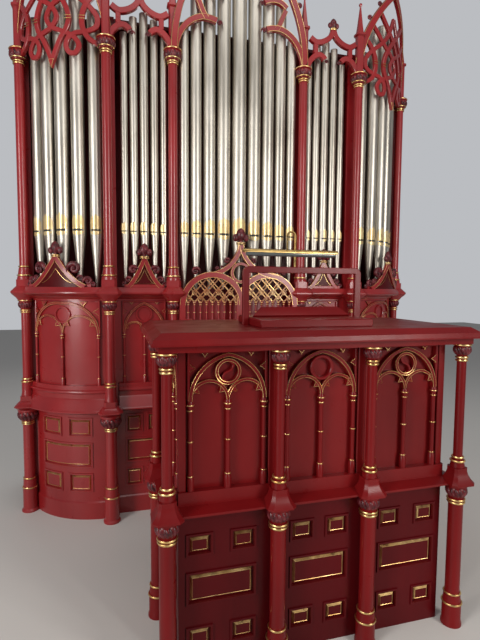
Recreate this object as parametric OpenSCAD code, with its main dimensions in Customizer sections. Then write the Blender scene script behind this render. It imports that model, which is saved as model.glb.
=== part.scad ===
// Gothic chamber pipe organ: a five-bay case with bowed end towers, and the
// detached console that stands in front of it. Millimetres, +Z up, facade to -Y.

/* [Case plan] */
// Middle of the case to the axis of an outer column
outer_col_x = 1364; // [1330:1:1400]
// Middle of the case to the axis of a tower's inner column
tower_col_x = 837; // [820:1:850]
// Middle of the case to the axis of a centre column
centre_col_x = 439; // [432:1:446]
// How far the outer columns stand behind the others
tower_back = 295; // [270:1:310]
// Depth of the case behind the front columns
case_depth = 950; // [850:10:1050]
// How far the flat bay walls stand behind the front columns
bay_back = 100; // [90:1:110]
// Radius of the towers' bowed walls
bow_r = 500; // [480:1:560]
// How far a bowed wall stands out in front of the line between its columns
bow_out = 38; // [30:1:44]
// Thickness of the case walls
wall_t = 24; // [18:1:30]

/* [Case heights] */
// Height of the skirting board
skirt_h = 115; // [90:1:130]
// Height of the lower ledge's rim
ledge_z = 715; // [700:1:730]
// Height of the top of the sloping sill over the ledge
sill_z = 872; // [865:1:880]
// Height of the cornice's underside
cornice_z = 1405; // [1395:1:1415]
// Thickness of the cornice
cornice_h = 72; // [60:1:80]
// Height of the tops of the upper capitals, where the arches spring
spring_z = 2962; // [2900:1:3000]
// Height of the case roof
roof_z = 3120; // [3050:1:3160]
// Rise of a tower arch above the capitals
tower_rise = 610; // [560:1:640]
// Rise of a narrow bay's arch above the capitals
narrow_rise = 262; // [250:1:280]
// Rise of the centre arch above the capitals
centre_rise = 800; // [760:1:840]

/* [Case columns] */
// Diameter of a lower column's shaft
low_col_d = 68; // [60:1:72]
// Diameter of a middle column's shaft
mid_col_d = 43; // [38:1:46]
// Diameter of an upper column's shaft
up_col_d = 57; // [50:1:60]
// Width of the square post behind each column
post_w = 60; // [50:1:66]

/* [Pipes] */
// Height of the pipe mouths
mouth_z = 1840; // [1825:1:1855]
// Wall thickness of a pipe
pipe_wall = 2.5; // [2:0.5:4]
// Diameter of the biggest pipe in the centre bay
centre_pipe_d = 96; // [86:1:98]
// Diameter of the middle pipe of a narrow bay
narrow_pipe_d = 52; // [46:1:54]
// Diameter of the middle pipe of a tower
tower_pipe_d = 84; // [76:1:88]

/* [Console] */
// Distance from the front columns of the case to those of the console
console_y = 1305; // [1250:1:1400]
// Middle of the console to the axis of its outer columns
desk_outer_x = 633; // [620:1:645]
// Middle of the console to the axis of its inner columns
desk_inner_x = 199; // [190:1:206]
// Distance between the front and rear columns of the console
desk_row = 390; // [370:1:410]
// Depth of the console table
table_depth = 680; // [640:1:720]
// Height of the console table
table_z = 1335; // [1325:1:1345]
// Height of the console ledge's rim
desk_ledge_z = 636; // [626:1:646]
// Diameter of a lower console column's shaft
desk_low_d = 55; // [48:1:58]
// Diameter of an upper console column's shaft
desk_up_d = 39; // [34:1:42]
// Width of the music frame
music_w = 530; // [500:1:560]
// Height of the music frame above its platform
music_h = 230; // [215:1:245]
// Height of the upper surface of the lower manual's keys
key_z = 820; // [800:1:835]

/* [Hidden] */

crimson = "firebrick";
dark_red = "maroon";
tin = "silver";
gold = "goldenrod";
fine = 48;

// The rim of the console table stands furthest forward, the back wall furthest back
table_over = 60;
front_y = -console_y - table_over;
back_y = case_depth;
mid_y = (front_y + back_y) / 2;

module in_place() { translate([0, -mid_y, 0]) children(); }
module both() { children(); mirror([1, 0, 0]) children(); }

function flip(points) = [for (i = [len(points) - 1:-1:0]) [-points[i].x, points[i].y]];
function lerp(a, b, t) = a + (b - a) * t;

// Columns

// Columns of the left half of the case, as [x, y, drawn on the inner side]
left_columns = [[-outer_col_x, tower_back], [-tower_col_x, 0], [-centre_col_x, 30]];

// A rounded bead on a turned profile: radius, height of its foot, size, projection
function bead(r, z, h, out) = [
    [r, z], [r + out * 0.75, z + h * 0.15], [r + out, z + h * 0.5],
    [r + out * 0.75, z + h * 0.85], [r, z + h]];

// A turned column with a drum or bell base, a plain shaft and a leafy capital's bell
module column(z0, z1, r, drum_h, capital_h, spread) {
    cap_z = z1 - capital_h;
    foot_r = r * spread;
    drum_r = r * lerp(1, spread, 0.55);
    base = drum_h * 0.45;
    profile = concat(
        [[0, z0], [foot_r, z0], [foot_r, z0 + drum_h * 0.08], [drum_r, z0 + drum_h * 0.2],
         [drum_r, z0 + drum_h]],
        bead(drum_r * 0.93, z0 + drum_h * 1.02, base * 0.25, r * 0.2),
        [[r * 1.12, z0 + drum_h + base * 0.55], [r * 1.02, z0 + drum_h + base * 0.85]],
        bead(r, z0 + drum_h + base * 0.9, r * 0.3, r * 0.16),
        bead(r, cap_z - r * 1.0, r * 0.3, r * 0.18),
        bead(r, cap_z - r * 0.45, r * 0.3, r * 0.18),
        [[r * 1.02, cap_z], [r * 1.3, cap_z + capital_h * 0.2], [foot_r * 1.02, cap_z + capital_h * 0.55],
         [foot_r * 1.05, cap_z + capital_h * 0.75], [foot_r * 0.92, cap_z + capital_h * 0.86]],
        [[foot_r * 0.98, cap_z + capital_h * 0.9], [foot_r * 0.98, z1], [0, z1]]);
    rotate_extrude($fn = fine) polygon(profile);
}

// A square block with cut corners whose half width changes with height
module flared(line, cut) {
    outline = concat(line, flip(line));
    wide = [for (p = outline) [p.x * cut, p.y]];
    far = 2 * max([for (p = line) p.x]);
    intersection() {
        for_side(outline, far, 0);
        for_side(outline, far, 90);
        for_side(wide, 2 * far, 45);
        for_side(wide, 2 * far, 135);
    }
}
module for_side(outline, far, turn) {
    rotate([90, 0, turn]) translate([0, 0, -far]) linear_extrude(2 * far) polygon(outline);
}

// Height of the turned columns' seats on the ledge and the cornice
rim_under = 26;
low_top_z = ledge_z - rim_under;
mid_foot_z = ledge_z + 62;
up_foot_z = cornice_z + cornice_h + 32;

module at_case_columns() {
    both() for (p = left_columns) translate([p.x, p.y, 0]) children();
}

module lower_columns() {
    color(crimson) in_place() at_case_columns() column(0, low_top_z, low_col_d / 2, 150, 80, 1.7);
}
module middle_columns() {
    color(crimson) in_place() at_case_columns()
        column(mid_foot_z, cornice_z, mid_col_d / 2, 34, 62, 1.8);
}
module upper_columns() {
    color(crimson) in_place() at_case_columns()
        column(up_foot_z, spring_z, up_col_d / 2, 40, 48, 1.65);
}

// Square posts behind the columns, set toward the middle of the case
post_shift = 18;
post_gap = 2;
module case_posts() {
    color(dark_red) in_place() both() for (p = left_columns)
        translate([p.x + post_shift - post_w / 2, p.y + post_front, 0])
            cube([post_w, post_d, roof_z]);
}
post_front = low_col_d / 2 * 1.7 + 2;
post_d = 46;

// Tower plan: the chord between the columns, its middle, and the bow's centre behind it
chord = [outer_col_x - tower_col_x, tower_back];
chord_len = norm(chord);
chord_turn = atan2(chord.y, chord.x);
bow_back = bow_r - bow_out;
module at_left_tower() {
    translate([-(outer_col_x + tower_col_x) / 2, tower_back / 2, 0]) rotate([0, 0, -chord_turn])
        children();
}
module at_towers() { both() at_left_tower() children(); }

// Half angle of a bowed piece whose ends stand a given distance from the tower's axis
function bow_half(reach, r) = asin(reach / r);

// A bowed moulding: profile points are [distance out from the wall face, height]
module bowed(profile, reach) {
    half = bow_half(reach, bow_r);
    translate([0, bow_back, 0]) rotate([0, 0, -90 - half])
        rotate_extrude(angle = 2 * half, $fn = 96)
            polygon([for (p = profile) [bow_r + p.x, p.y]]);
}

// A straight moulding along X between two ends, its wall face at y
module straight(profile, x0, x1, y) {
    translate([x0, y, 0]) rotate([90, 0, 90]) linear_extrude(x1 - x0)
        polygon([for (p = profile) [-p.x, p.y]]);
}

// Walls of the lowest stage

tower_reach = chord_len / 2 - 42;
function slab(z0, z1, t) = [[-t, z0], [0, z0], [0, z1], [-t, z1]];

panel_deep = 7;
// Raised-and-sunk panels, as [x middle, width, z middle, height]
small_h = 100;
long_h = 140;
row_z = [190 + small_h / 2, 420, 650 - small_h / 2];
function panel_rows(w, small_w) = [
    [-(w - small_w) / 2, small_w, row_z[0], small_h], [(w - small_w) / 2, small_w, row_z[0], small_h],
    [0, w, row_z[1], long_h],
    [-(w - small_w) / 2, small_w, row_z[2], small_h], [(w - small_w) / 2, small_w, row_z[2], small_h]];

// A square-edged groove round a panel, cut into a wall facing -Y at y = 0
module panel_cut(p, deep) {
    frame_w = 10;
    translate([p[0], 0, p[2]]) rotate([90, 0, 0]) translate([0, 0, -deep]) linear_extrude(2 * deep)
        difference() {
            square([p[1], p[3]], center = true);
            square([p[1] - 2 * frame_w, p[3] - 2 * frame_w], center = true);
        }
}
// The same groove on a bowed wall
module bow_panel_cut(p, deep) {
    frame_w = 10;
    turn = asin(p[0] / bow_r);
    half = asin(p[1] / 2 / bow_r);
    inner = half * (1 - 2 * frame_w / p[1]);
    translate([0, bow_back, 0]) rotate([0, 0, -90 + turn]) {
        difference() {
            bow_block(half, p[2] - p[3] / 2, p[2] + p[3] / 2, deep);
            bow_block(inner, p[2] - p[3] / 2 + frame_w, p[2] + p[3] / 2 - frame_w, 2 * deep);
        }
    }
}
module bow_block(half, z0, z1, deep) {
    rotate([0, 0, -half]) rotate_extrude(angle = 2 * half, $fn = 96)
        translate([bow_r - deep, z0]) square([2 * deep, z1 - z0]);
}

module tower_bases() {
    color(crimson) in_place() at_towers() difference() {
        union() {
            bowed(slab(0, low_top_z, wall_t), tower_reach);
            bowed(concat([[-2, 0], [8, 0], [8, skirt_h - 8], [0, skirt_h], [-2, skirt_h]]), tower_reach);
        }
        for (p = panel_rows(330, 130)) bow_panel_cut(p, panel_deep);
    }
}

narrow_mid_x = (tower_col_x + centre_col_x) / 2 - post_shift / 2;
bay_x0 = -tower_col_x + post_shift + post_w / 2;
bay_x1 = -centre_col_x + post_shift - post_w / 2;
module narrow_bases() {
    color(crimson) in_place() both() translate([0, bay_back, 0]) difference() {
        union() {
            straight(slab(0, low_top_z, wall_t), bay_x0, bay_x1, 0);
            straight([[-2, 0], [8, 0], [8, skirt_h - 8], [0, skirt_h], [-2, skirt_h]], bay_x0, bay_x1, 0);
        }
        translate([(bay_x0 + bay_x1) / 2, 0, 0]) for (p = panel_rows(230, 90)) panel_cut(p, panel_deep);
    }
}
centre_x = centre_col_x - post_shift - post_w / 2;
module centre_base() {
    color(crimson) in_place() translate([0, bay_back, 0]) difference() {
        union() {
            straight(slab(0, low_top_z, wall_t), -centre_x, centre_x, 0);
            straight([[-2, 0], [8, 0], [8, skirt_h - 8], [0, skirt_h], [-2, skirt_h]],
                -centre_x, centre_x, 0);
        }
        for (s = [-1, 1]) translate([s * centre_x / 2, 0, 0])
            for (p = panel_rows(300, 120)) panel_cut(p, panel_deep);
    }
}

// Ledge and cornice mouldings, as [out from the wall face, height]
ledge_out = 56;
ledge_line = [
    [-wall_t, low_top_z], [14, low_top_z], [34, ledge_z - 12], [ledge_out, ledge_z - 6],
    [ledge_out, ledge_z], [44, ledge_z + 18], [33, ledge_z + 45], [26, ledge_z + 86],
    [16, ledge_z + 96], [0, sill_z], [-wall_t, sill_z]];
pedestal_half = 74;
module pedestal(top) {
    flared([[pedestal_half - 22, low_top_z], [pedestal_half - 6, ledge_z - 10], [pedestal_half, ledge_z - 6],
        [pedestal_half, ledge_z], [pedestal_half - 16, ledge_z + 14], [pedestal_half - 28, ledge_z + 34],
        [pedestal_half - 33, top]], 1.2);
}
module ledge() {
    color(crimson) in_place() {
        both() {
            at_left_tower() bowed(ledge_line, tower_reach);
            straight(ledge_line, -tower_col_x + pedestal_half - 22, -centre_col_x - pedestal_half + 22, bay_back);
        }
        straight(ledge_line, -centre_col_x + pedestal_half - 22, centre_col_x - pedestal_half + 22, bay_back);
        at_case_columns() pedestal(mid_foot_z);
    }
}

cornice_out = 62;
cornice_top = cornice_z + cornice_h;
cornice_line = [
    [-wall_t, cornice_z], [16, cornice_z], [28, cornice_z + 12], [cornice_out - 6, cornice_z + 22],
    [cornice_out, cornice_z + 26], [cornice_out, cornice_z + 38], [cornice_out - 14, cornice_z + 46],
    [cornice_out - 30, cornice_top], [-wall_t, cornice_top]];
module cornice_pedestal() {
    half = 62;
    flared([[half - 20, cornice_z], [half - 8, cornice_z + 14], [half, cornice_z + 24],
        [half, cornice_z + 40], [half - 10, cornice_z + 48], [half - 14, cornice_top],
        [half - 22, cornice_top + 8], [half - 26, up_foot_z]], 1.2);
}
module cornice() {
    color(crimson) in_place() {
        both() {
            at_left_tower() bowed(cornice_line, tower_reach);
            straight(cornice_line, -tower_col_x + 44, -centre_col_x - 44, bay_back);
        }
        at_case_columns() cornice_pedestal();
    }
}

// Blind tracery

// Points along an arc round a centre
function arc(c, r, a0, a1, n) = [for (i = [0:n]) c + r * [cos(lerp(a0, a1, i / n)), sin(lerp(a0, a1, i / n))]];
// Left half of a pointed arch of half span a and rise h, from the springing to the apex
function arch_side(a, h, n) =
    let (r = (a * a + h * h) / (2 * a), turn = atan2(h, r - a)) arc([r - a, 0], r, 180, 180 - turn, n);
function arch_line(a, h, n) =
    let (left = arch_side(a, h, n)) concat(left, [for (i = [n - 1:-1:0]) [-left[i].x, left[i].y]]);

// A band of even width along a pointed arch
module arch_band(a, h, w, n) {
    outer = arch_line(a + w / 2, h + w * 0.75, n);
    inner = arch_line(a - w / 2, h - w * 0.55, n);
    polygon(concat(outer, [for (i = [len(inner) - 1:-1:0]) inner[i]]));
}
module ring_2d(r, w) {
    difference() { circle(r + w / 2, $fn = fine); circle(r - w / 2, $fn = fine); }
}
// A foiled head: three lobes in a lancet
module foil_band(a, w) {
    for (s = [-1, 1]) translate([s * a * 0.46, a * 0.25]) difference() {
        circle(a * 0.5, $fn = fine);
        circle(a * 0.5 - w, $fn = fine);
        translate([-s * a * 0.25, -a * 0.2]) square([a * 0.9, a * 0.9], center = true);
    }
}
// Two lancets and a circle under one pointed arch, in a rectangle of half width a
module tracery_2d(a, h, w) {
    lancet = (a - w / 2) / 2;
    arch_band(a, h, w, 10);
    for (s = [-1, 1]) translate([s * lancet, 0]) arch_band(lancet, lancet * 1.15, w * 0.8, 8);
    translate([0, h * 0.56]) ring_2d(h * 0.25, w * 0.8);
}
// Slender shafts under the springing of the tracery
module shafts_2d(a, drop, w) {
    for (x = [-a, 0, a]) translate([x - w / 2, -drop]) square([w, drop + 1]);
}

mid_spring = 1255;
module upright(t) { rotate([90, 0, 0]) linear_extrude(t) children(); }
// An outline extruded through the whole depth of a tower's bow
module through_bow() { translate([0, bow_r / 2, 0]) upright(bow_r) children(); }

module tower_panels() {
    color(crimson) in_place() at_towers() {
        bowed(slab(sill_z, cornice_z, wall_t), tower_reach);
        intersection() {
            bowed([[-2, sill_z], [9, sill_z], [9, cornice_z], [-2, cornice_z]], tower_reach);
            translate([0, 0, mid_spring]) through_bow() {
                tracery_2d(165, 128, 13);
                shafts_2d(165, mid_spring - sill_z - 1, 12);
            }
        }
    }
}
module narrow_panels() {
    color(crimson) in_place() both() translate([0, bay_back, 0]) {
        straight(slab(sill_z, cornice_z, wall_t), bay_x0, bay_x1, 0);
        translate([(bay_x0 + bay_x1) / 2, 1, mid_spring]) upright(10) {
            tracery_2d(118, 128, 12);
            shafts_2d(118, mid_spring - sill_z - 1, 11);
        }
    }
}

// Centre bay: a taller wall with two wide arches under a curved gable
screen_arch_half = 165;
screen_spring = 1345;
screen_rise = 150;
screen_top = 1790;
gable_half = 360;
gable_foot = 1585;
gable_w = 30;
screen_y = 12;
screen_t = 40;
function gable_side(n) = [for (i = [0:n]) let (t = i / n) [-gable_half * pow(1 - t, 1.0) * (1 - 0.0 * t),
    gable_foot + (screen_top - gable_foot) * pow(t, 2.1)]];
module centre_screen() {
    side = gable_side(12);
    top_line = concat(side, [for (i = [len(side) - 2:-1:0]) [-side[i].x, side[i].y]]);
    color(crimson) in_place() {
        translate([0, bay_back, 0]) straight(slab(sill_z, gable_foot - 60, wall_t), -centre_x, centre_x, 0);
        translate([0, screen_y + screen_t, 0]) upright(screen_t) {
            polygon(concat(top_line, [for (i = [len(top_line) - 1:-1:0]) [top_line[i].x, top_line[i].y - gable_w]]));
            translate([0, gable_foot + 8]) ring_2d(56, 16);
            for (s = [-1, 1]) translate([s * (screen_arch_half + 14), screen_spring])
                arch_band(screen_arch_half, screen_rise, 26, 10);
            for (x = [-1, 0, 1]) translate([x * 2 * (screen_arch_half + 7) - 13, sill_z])
                square([26, screen_spring - sill_z + 20]);
            translate([-gable_half, sill_z]) square([2 * gable_half, 30]);
        }
        translate([0, screen_y + screen_t / 2, screen_top - 20])
            column(0, 150, 11, 20, 60, 2.4);
    }
}

// Cresting over the cornice: a small gablet with curved sides
module gablet_2d(half, rise) {
    n = 8;
    side = [for (i = [0:n]) let (t = i / n) [-half * (1 - t), rise * pow(t, 1.7)]];
    line = concat(side, [for (i = [n - 1:-1:0]) [-side[i].x, side[i].y]]);
    difference() {
        polygon(concat(line, [[half, -6], [-half, -6]]));
        polygon([[-half * 0.32, rise * 0.08], [half * 0.32, rise * 0.08], [0, rise * 0.52]]);
    }
    translate([0, rise + 24]) circle(22, $fn = fine);
    translate([-5, rise - 12]) square([10, 30]);
    for (s = [-1, 1], t = [0.33, 0.62])
        translate([s * half * (1 - t) * 1.02, rise * pow(t, 1.7) + 12]) circle(15, $fn = fine);
}
crest_t = 14;
crest_rise = 190;
module tower_crests() {
    color(crimson) in_place() at_towers() intersection() {
        bowed([[14, cornice_top], [14 + crest_t, cornice_top], [14 + crest_t, cornice_top + 300],
            [14, cornice_top + 300]], 170);
        translate([0, 0, cornice_top]) through_bow() gablet_2d(150, crest_rise);
    }
}
module narrow_crests() {
    color(crimson) in_place() both()
        translate([-narrow_mid_x, bay_back - 14, cornice_top + 6]) upright(crest_t)
            gablet_2d(132, crest_rise);
}

// Case shell: side walls, back, roof and the windchest that carries the pipes
side_x = outer_col_x - 36;
side_y0 = tower_back + post_front + post_d;
module side_walls() {
    color(crimson) in_place() both()
        translate([-side_x - wall_t, side_y0, 0]) cube([wall_t, case_depth - wall_t - side_y0, roof_z]);
}
module back_wall() {
    color(dark_red) in_place() translate([-side_x - wall_t, case_depth - wall_t, 0])
        cube([2 * (side_x + wall_t), wall_t, roof_z]);
}
module roof() {
    roof_line = [[-side_x - wall_t, tower_back + 60], [-tower_col_x, bay_back + 20],
        [tower_col_x, bay_back + 20], [side_x + wall_t, tower_back + 60],
        [side_x + wall_t, case_depth], [-side_x - wall_t, case_depth]];
    color(dark_red) in_place() translate([0, 0, roof_z]) linear_extrude(22) polygon(roof_line);
}
chest_top = cornice_top + 4;
chest_h = 130;
pipe_out = 12;
module windchest() {
    color(dark_red) in_place() {
        translate([0, 0, chest_top - chest_h]) linear_extrude(chest_h)
            polygon([[-side_x + 4, side_y0 + 20], [-tower_col_x, bay_back + wall_t + 6],
                [tower_col_x, bay_back + wall_t + 6], [side_x - 4, side_y0 + 20],
                [side_x - 4, case_depth - wall_t - 4], [-side_x + 4, case_depth - wall_t - 4]]);
    }
}

// Pipes

// One pipe: conical foot, flatted mouth with its slot, open cylinder body
foot_h = 300;
toe_r = 8;
toe_z = cornice_top + 6;
module pipe(d, top) {
    r = d / 2;
    mouth_h = r * 0.62;
    color(tin) difference() {
        rotate_extrude($fn = fine) polygon([
            [0, toe_z], [toe_r, toe_z], [r, mouth_z - mouth_h], [r, top], [r - pipe_wall, top],
            [r - pipe_wall, mouth_z + 2], [0, mouth_z + 2]]);
        translate([-r * 0.7, -r - 1, mouth_z - mouth_h * 0.25]) cube([r * 1.4, r * 0.42, mouth_h * 0.5]);
    }
}

centre_pipes = [for (i = [-4:4]) i];
// Pipes shrink away from the middle of a bay and stand a small gap apart
function pipe_d(d, i, fall) = d * (1 - fall * abs(i));
function pipe_x(d, i, fall, gap) =
    i == 0 ? 0 : sign(i) * (pipe_x(d, abs(i) - 1, fall, gap) + gap
        + (pipe_d(d, i, fall) + pipe_d(d, abs(i) - 1, fall)) / 2);

centre_fall = 0.088;
centre_gap = 12;
narrow_fall = 0.08;
narrow_gap = 13;
tower_fall = 0.045;
tower_gap = 26;
pipe_y = 62;

module pipe_row(d, fall, gap, count, top, drop) {
    for (i = [-count:count])
        translate([pipe_x(d, i, fall, gap), pipe_y, 0]) pipe(pipe_d(d, i, fall), top - drop * i * i);
}
module pipes_centre() {
    in_place() pipe_row(centre_pipe_d, centre_fall, centre_gap, 4, spring_z + 660, 30);
}
module left_bay_pipes() {
    translate([-narrow_mid_x + post_w / 4, 0, 0])
        pipe_row(narrow_pipe_d, narrow_fall, narrow_gap, 2, spring_z + 200, 32);
}
module pipes_left_bay() { in_place() left_bay_pipes(); }
module pipes_right_bay() { in_place() mirror([1, 0, 0]) left_bay_pipes(); }
module left_tower_pipes() {
    at_left_tower() translate([0, bow_back, 0]) for (i = [-2:2]) {
        turn = asin(pipe_x(tower_pipe_d, i, tower_fall, tower_gap) / bow_r);
        rotate([0, 0, turn]) translate([0, -bow_r + 30, 0])
            pipe(pipe_d(tower_pipe_d, i, tower_fall), spring_z + 420 - 60 * i * i);
    }
}
module pipes_left_tower() { in_place() left_tower_pipes(); }
module pipes_right_tower() { in_place() mirror([1, 0, 0]) left_tower_pipes(); }

// Arches over the pipes

arch_t = 34;
module tower_arch_2d() {
    half = chord_len / 2 - 26;
    arch_band(half, tower_rise, 34, 14);
    translate([0, tower_rise + 10]) square([16, 60], center = true);
    translate([0, tower_rise + 60]) circle(34, $fn = fine);
    strap(half);
}
// Interlaced bands hanging in the head of the tower arch
module strap(half) {
    w = 15;
    for (s = [-1, 1]) {
        translate([s * half * 0.34, -40]) scale([1, 1.5]) ring_2d(42, w);
        translate([s * half * 0.62, 110]) ring_2d(70, w);
        translate([s * half * 0.2, 190]) ring_2d(88, w);
        strut([s * half * 0.62, 60], [0, -170], w);
        strut([s * half * 0.95, 20], [s * half * 0.45, 90], w);
    }
    translate([0, 60]) ring_2d(60, w);
    translate([0, 330]) ring_2d(62, w);
    translate([0, 450]) ring_2d(50, w);
}
module strut(a, b, w) {
    d = b - a;
    translate(a) rotate(atan2(d.y, d.x)) translate([0, -w / 2]) square([norm(d), w]);
}
module tower_arch() {
    at_left_tower() intersection() {
        bowed([[-arch_t / 2 - 20, spring_z - 240], [arch_t / 2 - 20, spring_z - 240],
            [arch_t / 2 - 20, spring_z + 900], [-arch_t / 2 - 20, spring_z + 900]], chord_len / 2 - 2);
        translate([0, 0, spring_z]) through_bow() tower_arch_2d();
    }
}
module left_tower_arch() { color(crimson) in_place() tower_arch(); }
module right_tower_arch() { color(crimson) in_place() mirror([1, 0, 0]) tower_arch(); }

// Ogee arch of a narrow bay: a low cusped arch under two hollow sweeps to the point
module narrow_arches() {
    half = (tower_col_x - centre_col_x) / 2 - 20;
    w = 28;
    color(crimson) in_place() both()
        translate([-(tower_col_x + centre_col_x) / 2, arch_t / 2, spring_z]) upright(arch_t) {
            for (s = [-1, 1]) scale([s, 1]) {
                polygon(band([for (t = [0:0.125:1]) [-half + half * 0.62 * t, 92 * sin(90 * t)]], w));
                polygon(band([for (t = [0:0.125:1]) [-half * (0.62 - 0.62 * t) - 2 * t,
                    120 + (narrow_rise - 120) * pow(t, 2)]], w));
                polygon(band([for (t = [0:0.25:1]) [-half * 0.62 - half * 0.3 * t, 96 + 90 * t]], w));
                translate([-half * 0.36, 92]) circle(18, $fn = fine);
            }
            translate([0, narrow_rise + 10]) circle(26, $fn = fine);
        }
}
// A band of even width along a line of points
function side_of(line, i, d) =
    let (a = line[max(i - 1, 0)], b = line[min(i + 1, len(line) - 1)], v = (b - a) / norm(b - a))
    line[i] + d * [-v.y, v.x];
function band(line, w) = concat(
    [for (i = [0:len(line) - 1]) side_of(line, i, w / 2)],
    [for (i = [len(line) - 1:-1:0]) side_of(line, i, -w / 2)]);

module centre_arch() {
    half = centre_col_x - 22;
    w = 32;
    color(crimson) in_place() translate([0, 30 + arch_t / 2, spring_z]) upright(arch_t) {
        arch_band(half, centre_rise, w, 14);
        for (s = [-1, 1]) scale([s, 1]) {
            polygon(band([for (t = [0:0.125:1]) [-half + 4 + half * 0.62 * t, 215 * sin(90 * t)]], w * 0.9));
            polygon(band([for (t = [0:0.125:1]) [-half * 0.6 + half * 0.28 * sin(90 * t), 225 + 190 * t]],
                w * 0.9));
            translate([-half * 0.36, 210]) circle(20, $fn = fine);
        }
        translate([0, centre_rise + 50]) square([18, 110], center = true);
        translate([0, centre_rise + 120]) circle(44, $fn = fine);
    }
}

// Pilasters and pinnacles over the columns
pinnacle_h = 440;
module pinnacles() {
    color(crimson) in_place() at_case_columns() {
        flared([[17, spring_z], [17, spring_z + pinnacle_h * 0.62], [24, spring_z + pinnacle_h * 0.64],
            [24, spring_z + pinnacle_h * 0.67], [15, spring_z + pinnacle_h * 0.7],
            [3, spring_z + pinnacle_h]], 1.2);
    }
}

// Console

desk_half = desk_outer_x - 10;
desk_back_y = -console_y + table_depth - table_over - 80;
desk_front_y = -console_y + desk_low_d / 2 * 1.6 + 2;
desk_columns = [for (x = [-desk_outer_x, -desk_inner_x, desk_inner_x, desk_outer_x]) [x, -console_y]];
rear_columns = [for (x = [-desk_outer_x, desk_outer_x]) [x, -console_y + desk_row]];
module at_desk_columns() {
    for (p = concat(desk_columns, rear_columns)) translate([p.x, p.y, 0]) children();
}
desk_low_top = desk_ledge_z - 20;
desk_up_foot = desk_ledge_z + 62;
desk_cap_top = table_z - 72;

module console_lower_columns() {
    color(crimson) in_place() at_desk_columns() column(0, desk_low_top, desk_low_d / 2, 96, 62, 1.6);
}
module console_upper_columns() {
    color(crimson) in_place() at_desk_columns()
        column(desk_up_foot, desk_cap_top, desk_up_d / 2, 30, 46, 1.7);
}

board_t = 22;
desk_side_x = desk_outer_x - desk_low_d / 2 * 1.6 - 2;
// Sunk panels of the console's lower stage
desk_rows = [desk_low_top - 110, desk_low_top - 285, 130];
function desk_panels(w, small_w) = [
    [-(w - small_w) / 2, small_w, desk_rows[0], 66], [(w - small_w) / 2, small_w, desk_rows[0], 66],
    [0, w, desk_rows[1], 110],
    [-(w - small_w) / 2, small_w, desk_rows[2], 66], [(w - small_w) / 2, small_w, desk_rows[2], 66]];
bay_mid = (desk_outer_x + desk_inner_x) / 2;
module console_base() {
    color(crimson) in_place() {
        translate([0, desk_front_y, 0]) difference() {
            straight(slab(0, desk_low_top, board_t), -desk_side_x, desk_side_x, 0);
            for (x = [-bay_mid, 0, bay_mid]) translate([x, 0, 0])
                for (p = desk_panels(x == 0 ? 240 : 260, 84)) panel_cut(p, panel_deep);
        }
        both() translate([-desk_side_x, desk_front_y + board_t, 0])
            cube([board_t, desk_back_y - desk_front_y - board_t, desk_low_top]);
    }
}
desk_ledge_out = 48;
desk_ledge_line = [
    [-board_t, desk_low_top], [8, desk_low_top], [26, desk_ledge_z - 12], [desk_ledge_out, desk_ledge_z - 5],
    [desk_ledge_out, desk_ledge_z + 2], [38, desk_ledge_z + 16], [28, desk_ledge_z + 44],
    [20, desk_ledge_z + 56], [0, desk_ledge_z + 74], [-board_t, desk_ledge_z + 74]];
desk_sill = desk_ledge_z + 74;
module console_ledge() {
    half = 60;
    color(crimson) in_place() {
        straight(desk_ledge_line, -desk_side_x, desk_side_x, desk_front_y);
        both() translate([-desk_side_x, desk_front_y, 0]) rotate([0, 0, -90])
            straight(desk_ledge_line, -(desk_back_y - desk_front_y), 0, 0);
        at_desk_columns() flared([[half - 20, desk_low_top], [half - 6, desk_ledge_z - 8], [half, desk_ledge_z - 4],
            [half, desk_ledge_z + 2], [half - 14, desk_ledge_z + 14], [half - 24, desk_ledge_z + 34],
            [half - 27, desk_up_foot]], 1.2);
    }
}
module console_panels() {
    color(crimson) in_place() {
        translate([0, desk_front_y + 12, 0])
            straight(slab(desk_sill, desk_cap_top, board_t), -desk_side_x, desk_side_x, 0);
        both() translate([-desk_side_x, desk_front_y + 12 + board_t, desk_sill])
            cube([board_t, desk_back_y - desk_front_y - 12 - board_t, desk_cap_top - desk_sill]);
    }
}
module desk_bay(a) {
    spring = 1085 - desk_sill;
    rail = 12;
    difference() {
        translate([-a - 8, 0]) square([2 * a + 16, desk_cap_top - desk_sill]);
        translate([0, spring]) polygon(concat(arch_line(a - 12, 118, 10), [[a - 12, -spring + rail],
            [-a + 12, -spring + rail]]));
    }
    translate([0, spring]) {
        tracery_2d(a - 10, 122, 11);
        shafts_2d(a - 14, spring - rail, 9);
    }
}
module console_tracery() {
    color(crimson) in_place() translate([0, desk_front_y + 12, desk_sill]) upright(12) {
        for (x = [-bay_mid, bay_mid]) translate([x, 0]) desk_bay(150);
        desk_bay(140);
    }
}
module console_table() {
    rim = [[0, table_z - 46], [0, table_z - 40], [6, table_z - 22], [38, table_z]];
    half = desk_outer_x + table_over - 3;
    color(crimson) in_place() {
        translate([0, front_y + table_depth / 2, 0]) intersection() {
            for_side(concat([[half, table_z - 46], [half, table_z - 40], [half - 6, table_z - 22],
                [half - 38, table_z]], flip([[half, table_z - 46], [half, table_z - 40],
                [half - 6, table_z - 22], [half - 38, table_z]])), table_depth, 0);
            for_side(concat([[table_depth / 2, table_z - 46], [table_depth / 2, table_z - 40],
                [table_depth / 2 - 6, table_z - 22], [table_depth / 2 - 38, table_z]],
                flip([[table_depth / 2, table_z - 46], [table_depth / 2, table_z - 40],
                [table_depth / 2 - 6, table_z - 22], [table_depth / 2 - 38, table_z]])), 2 * half, 90);
        }
        translate([-desk_outer_x - 30, -console_y - 30, desk_cap_top])
            cube([2 * desk_outer_x + 60, table_depth - 70, table_z - 46 - desk_cap_top]);
    }
}

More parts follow.
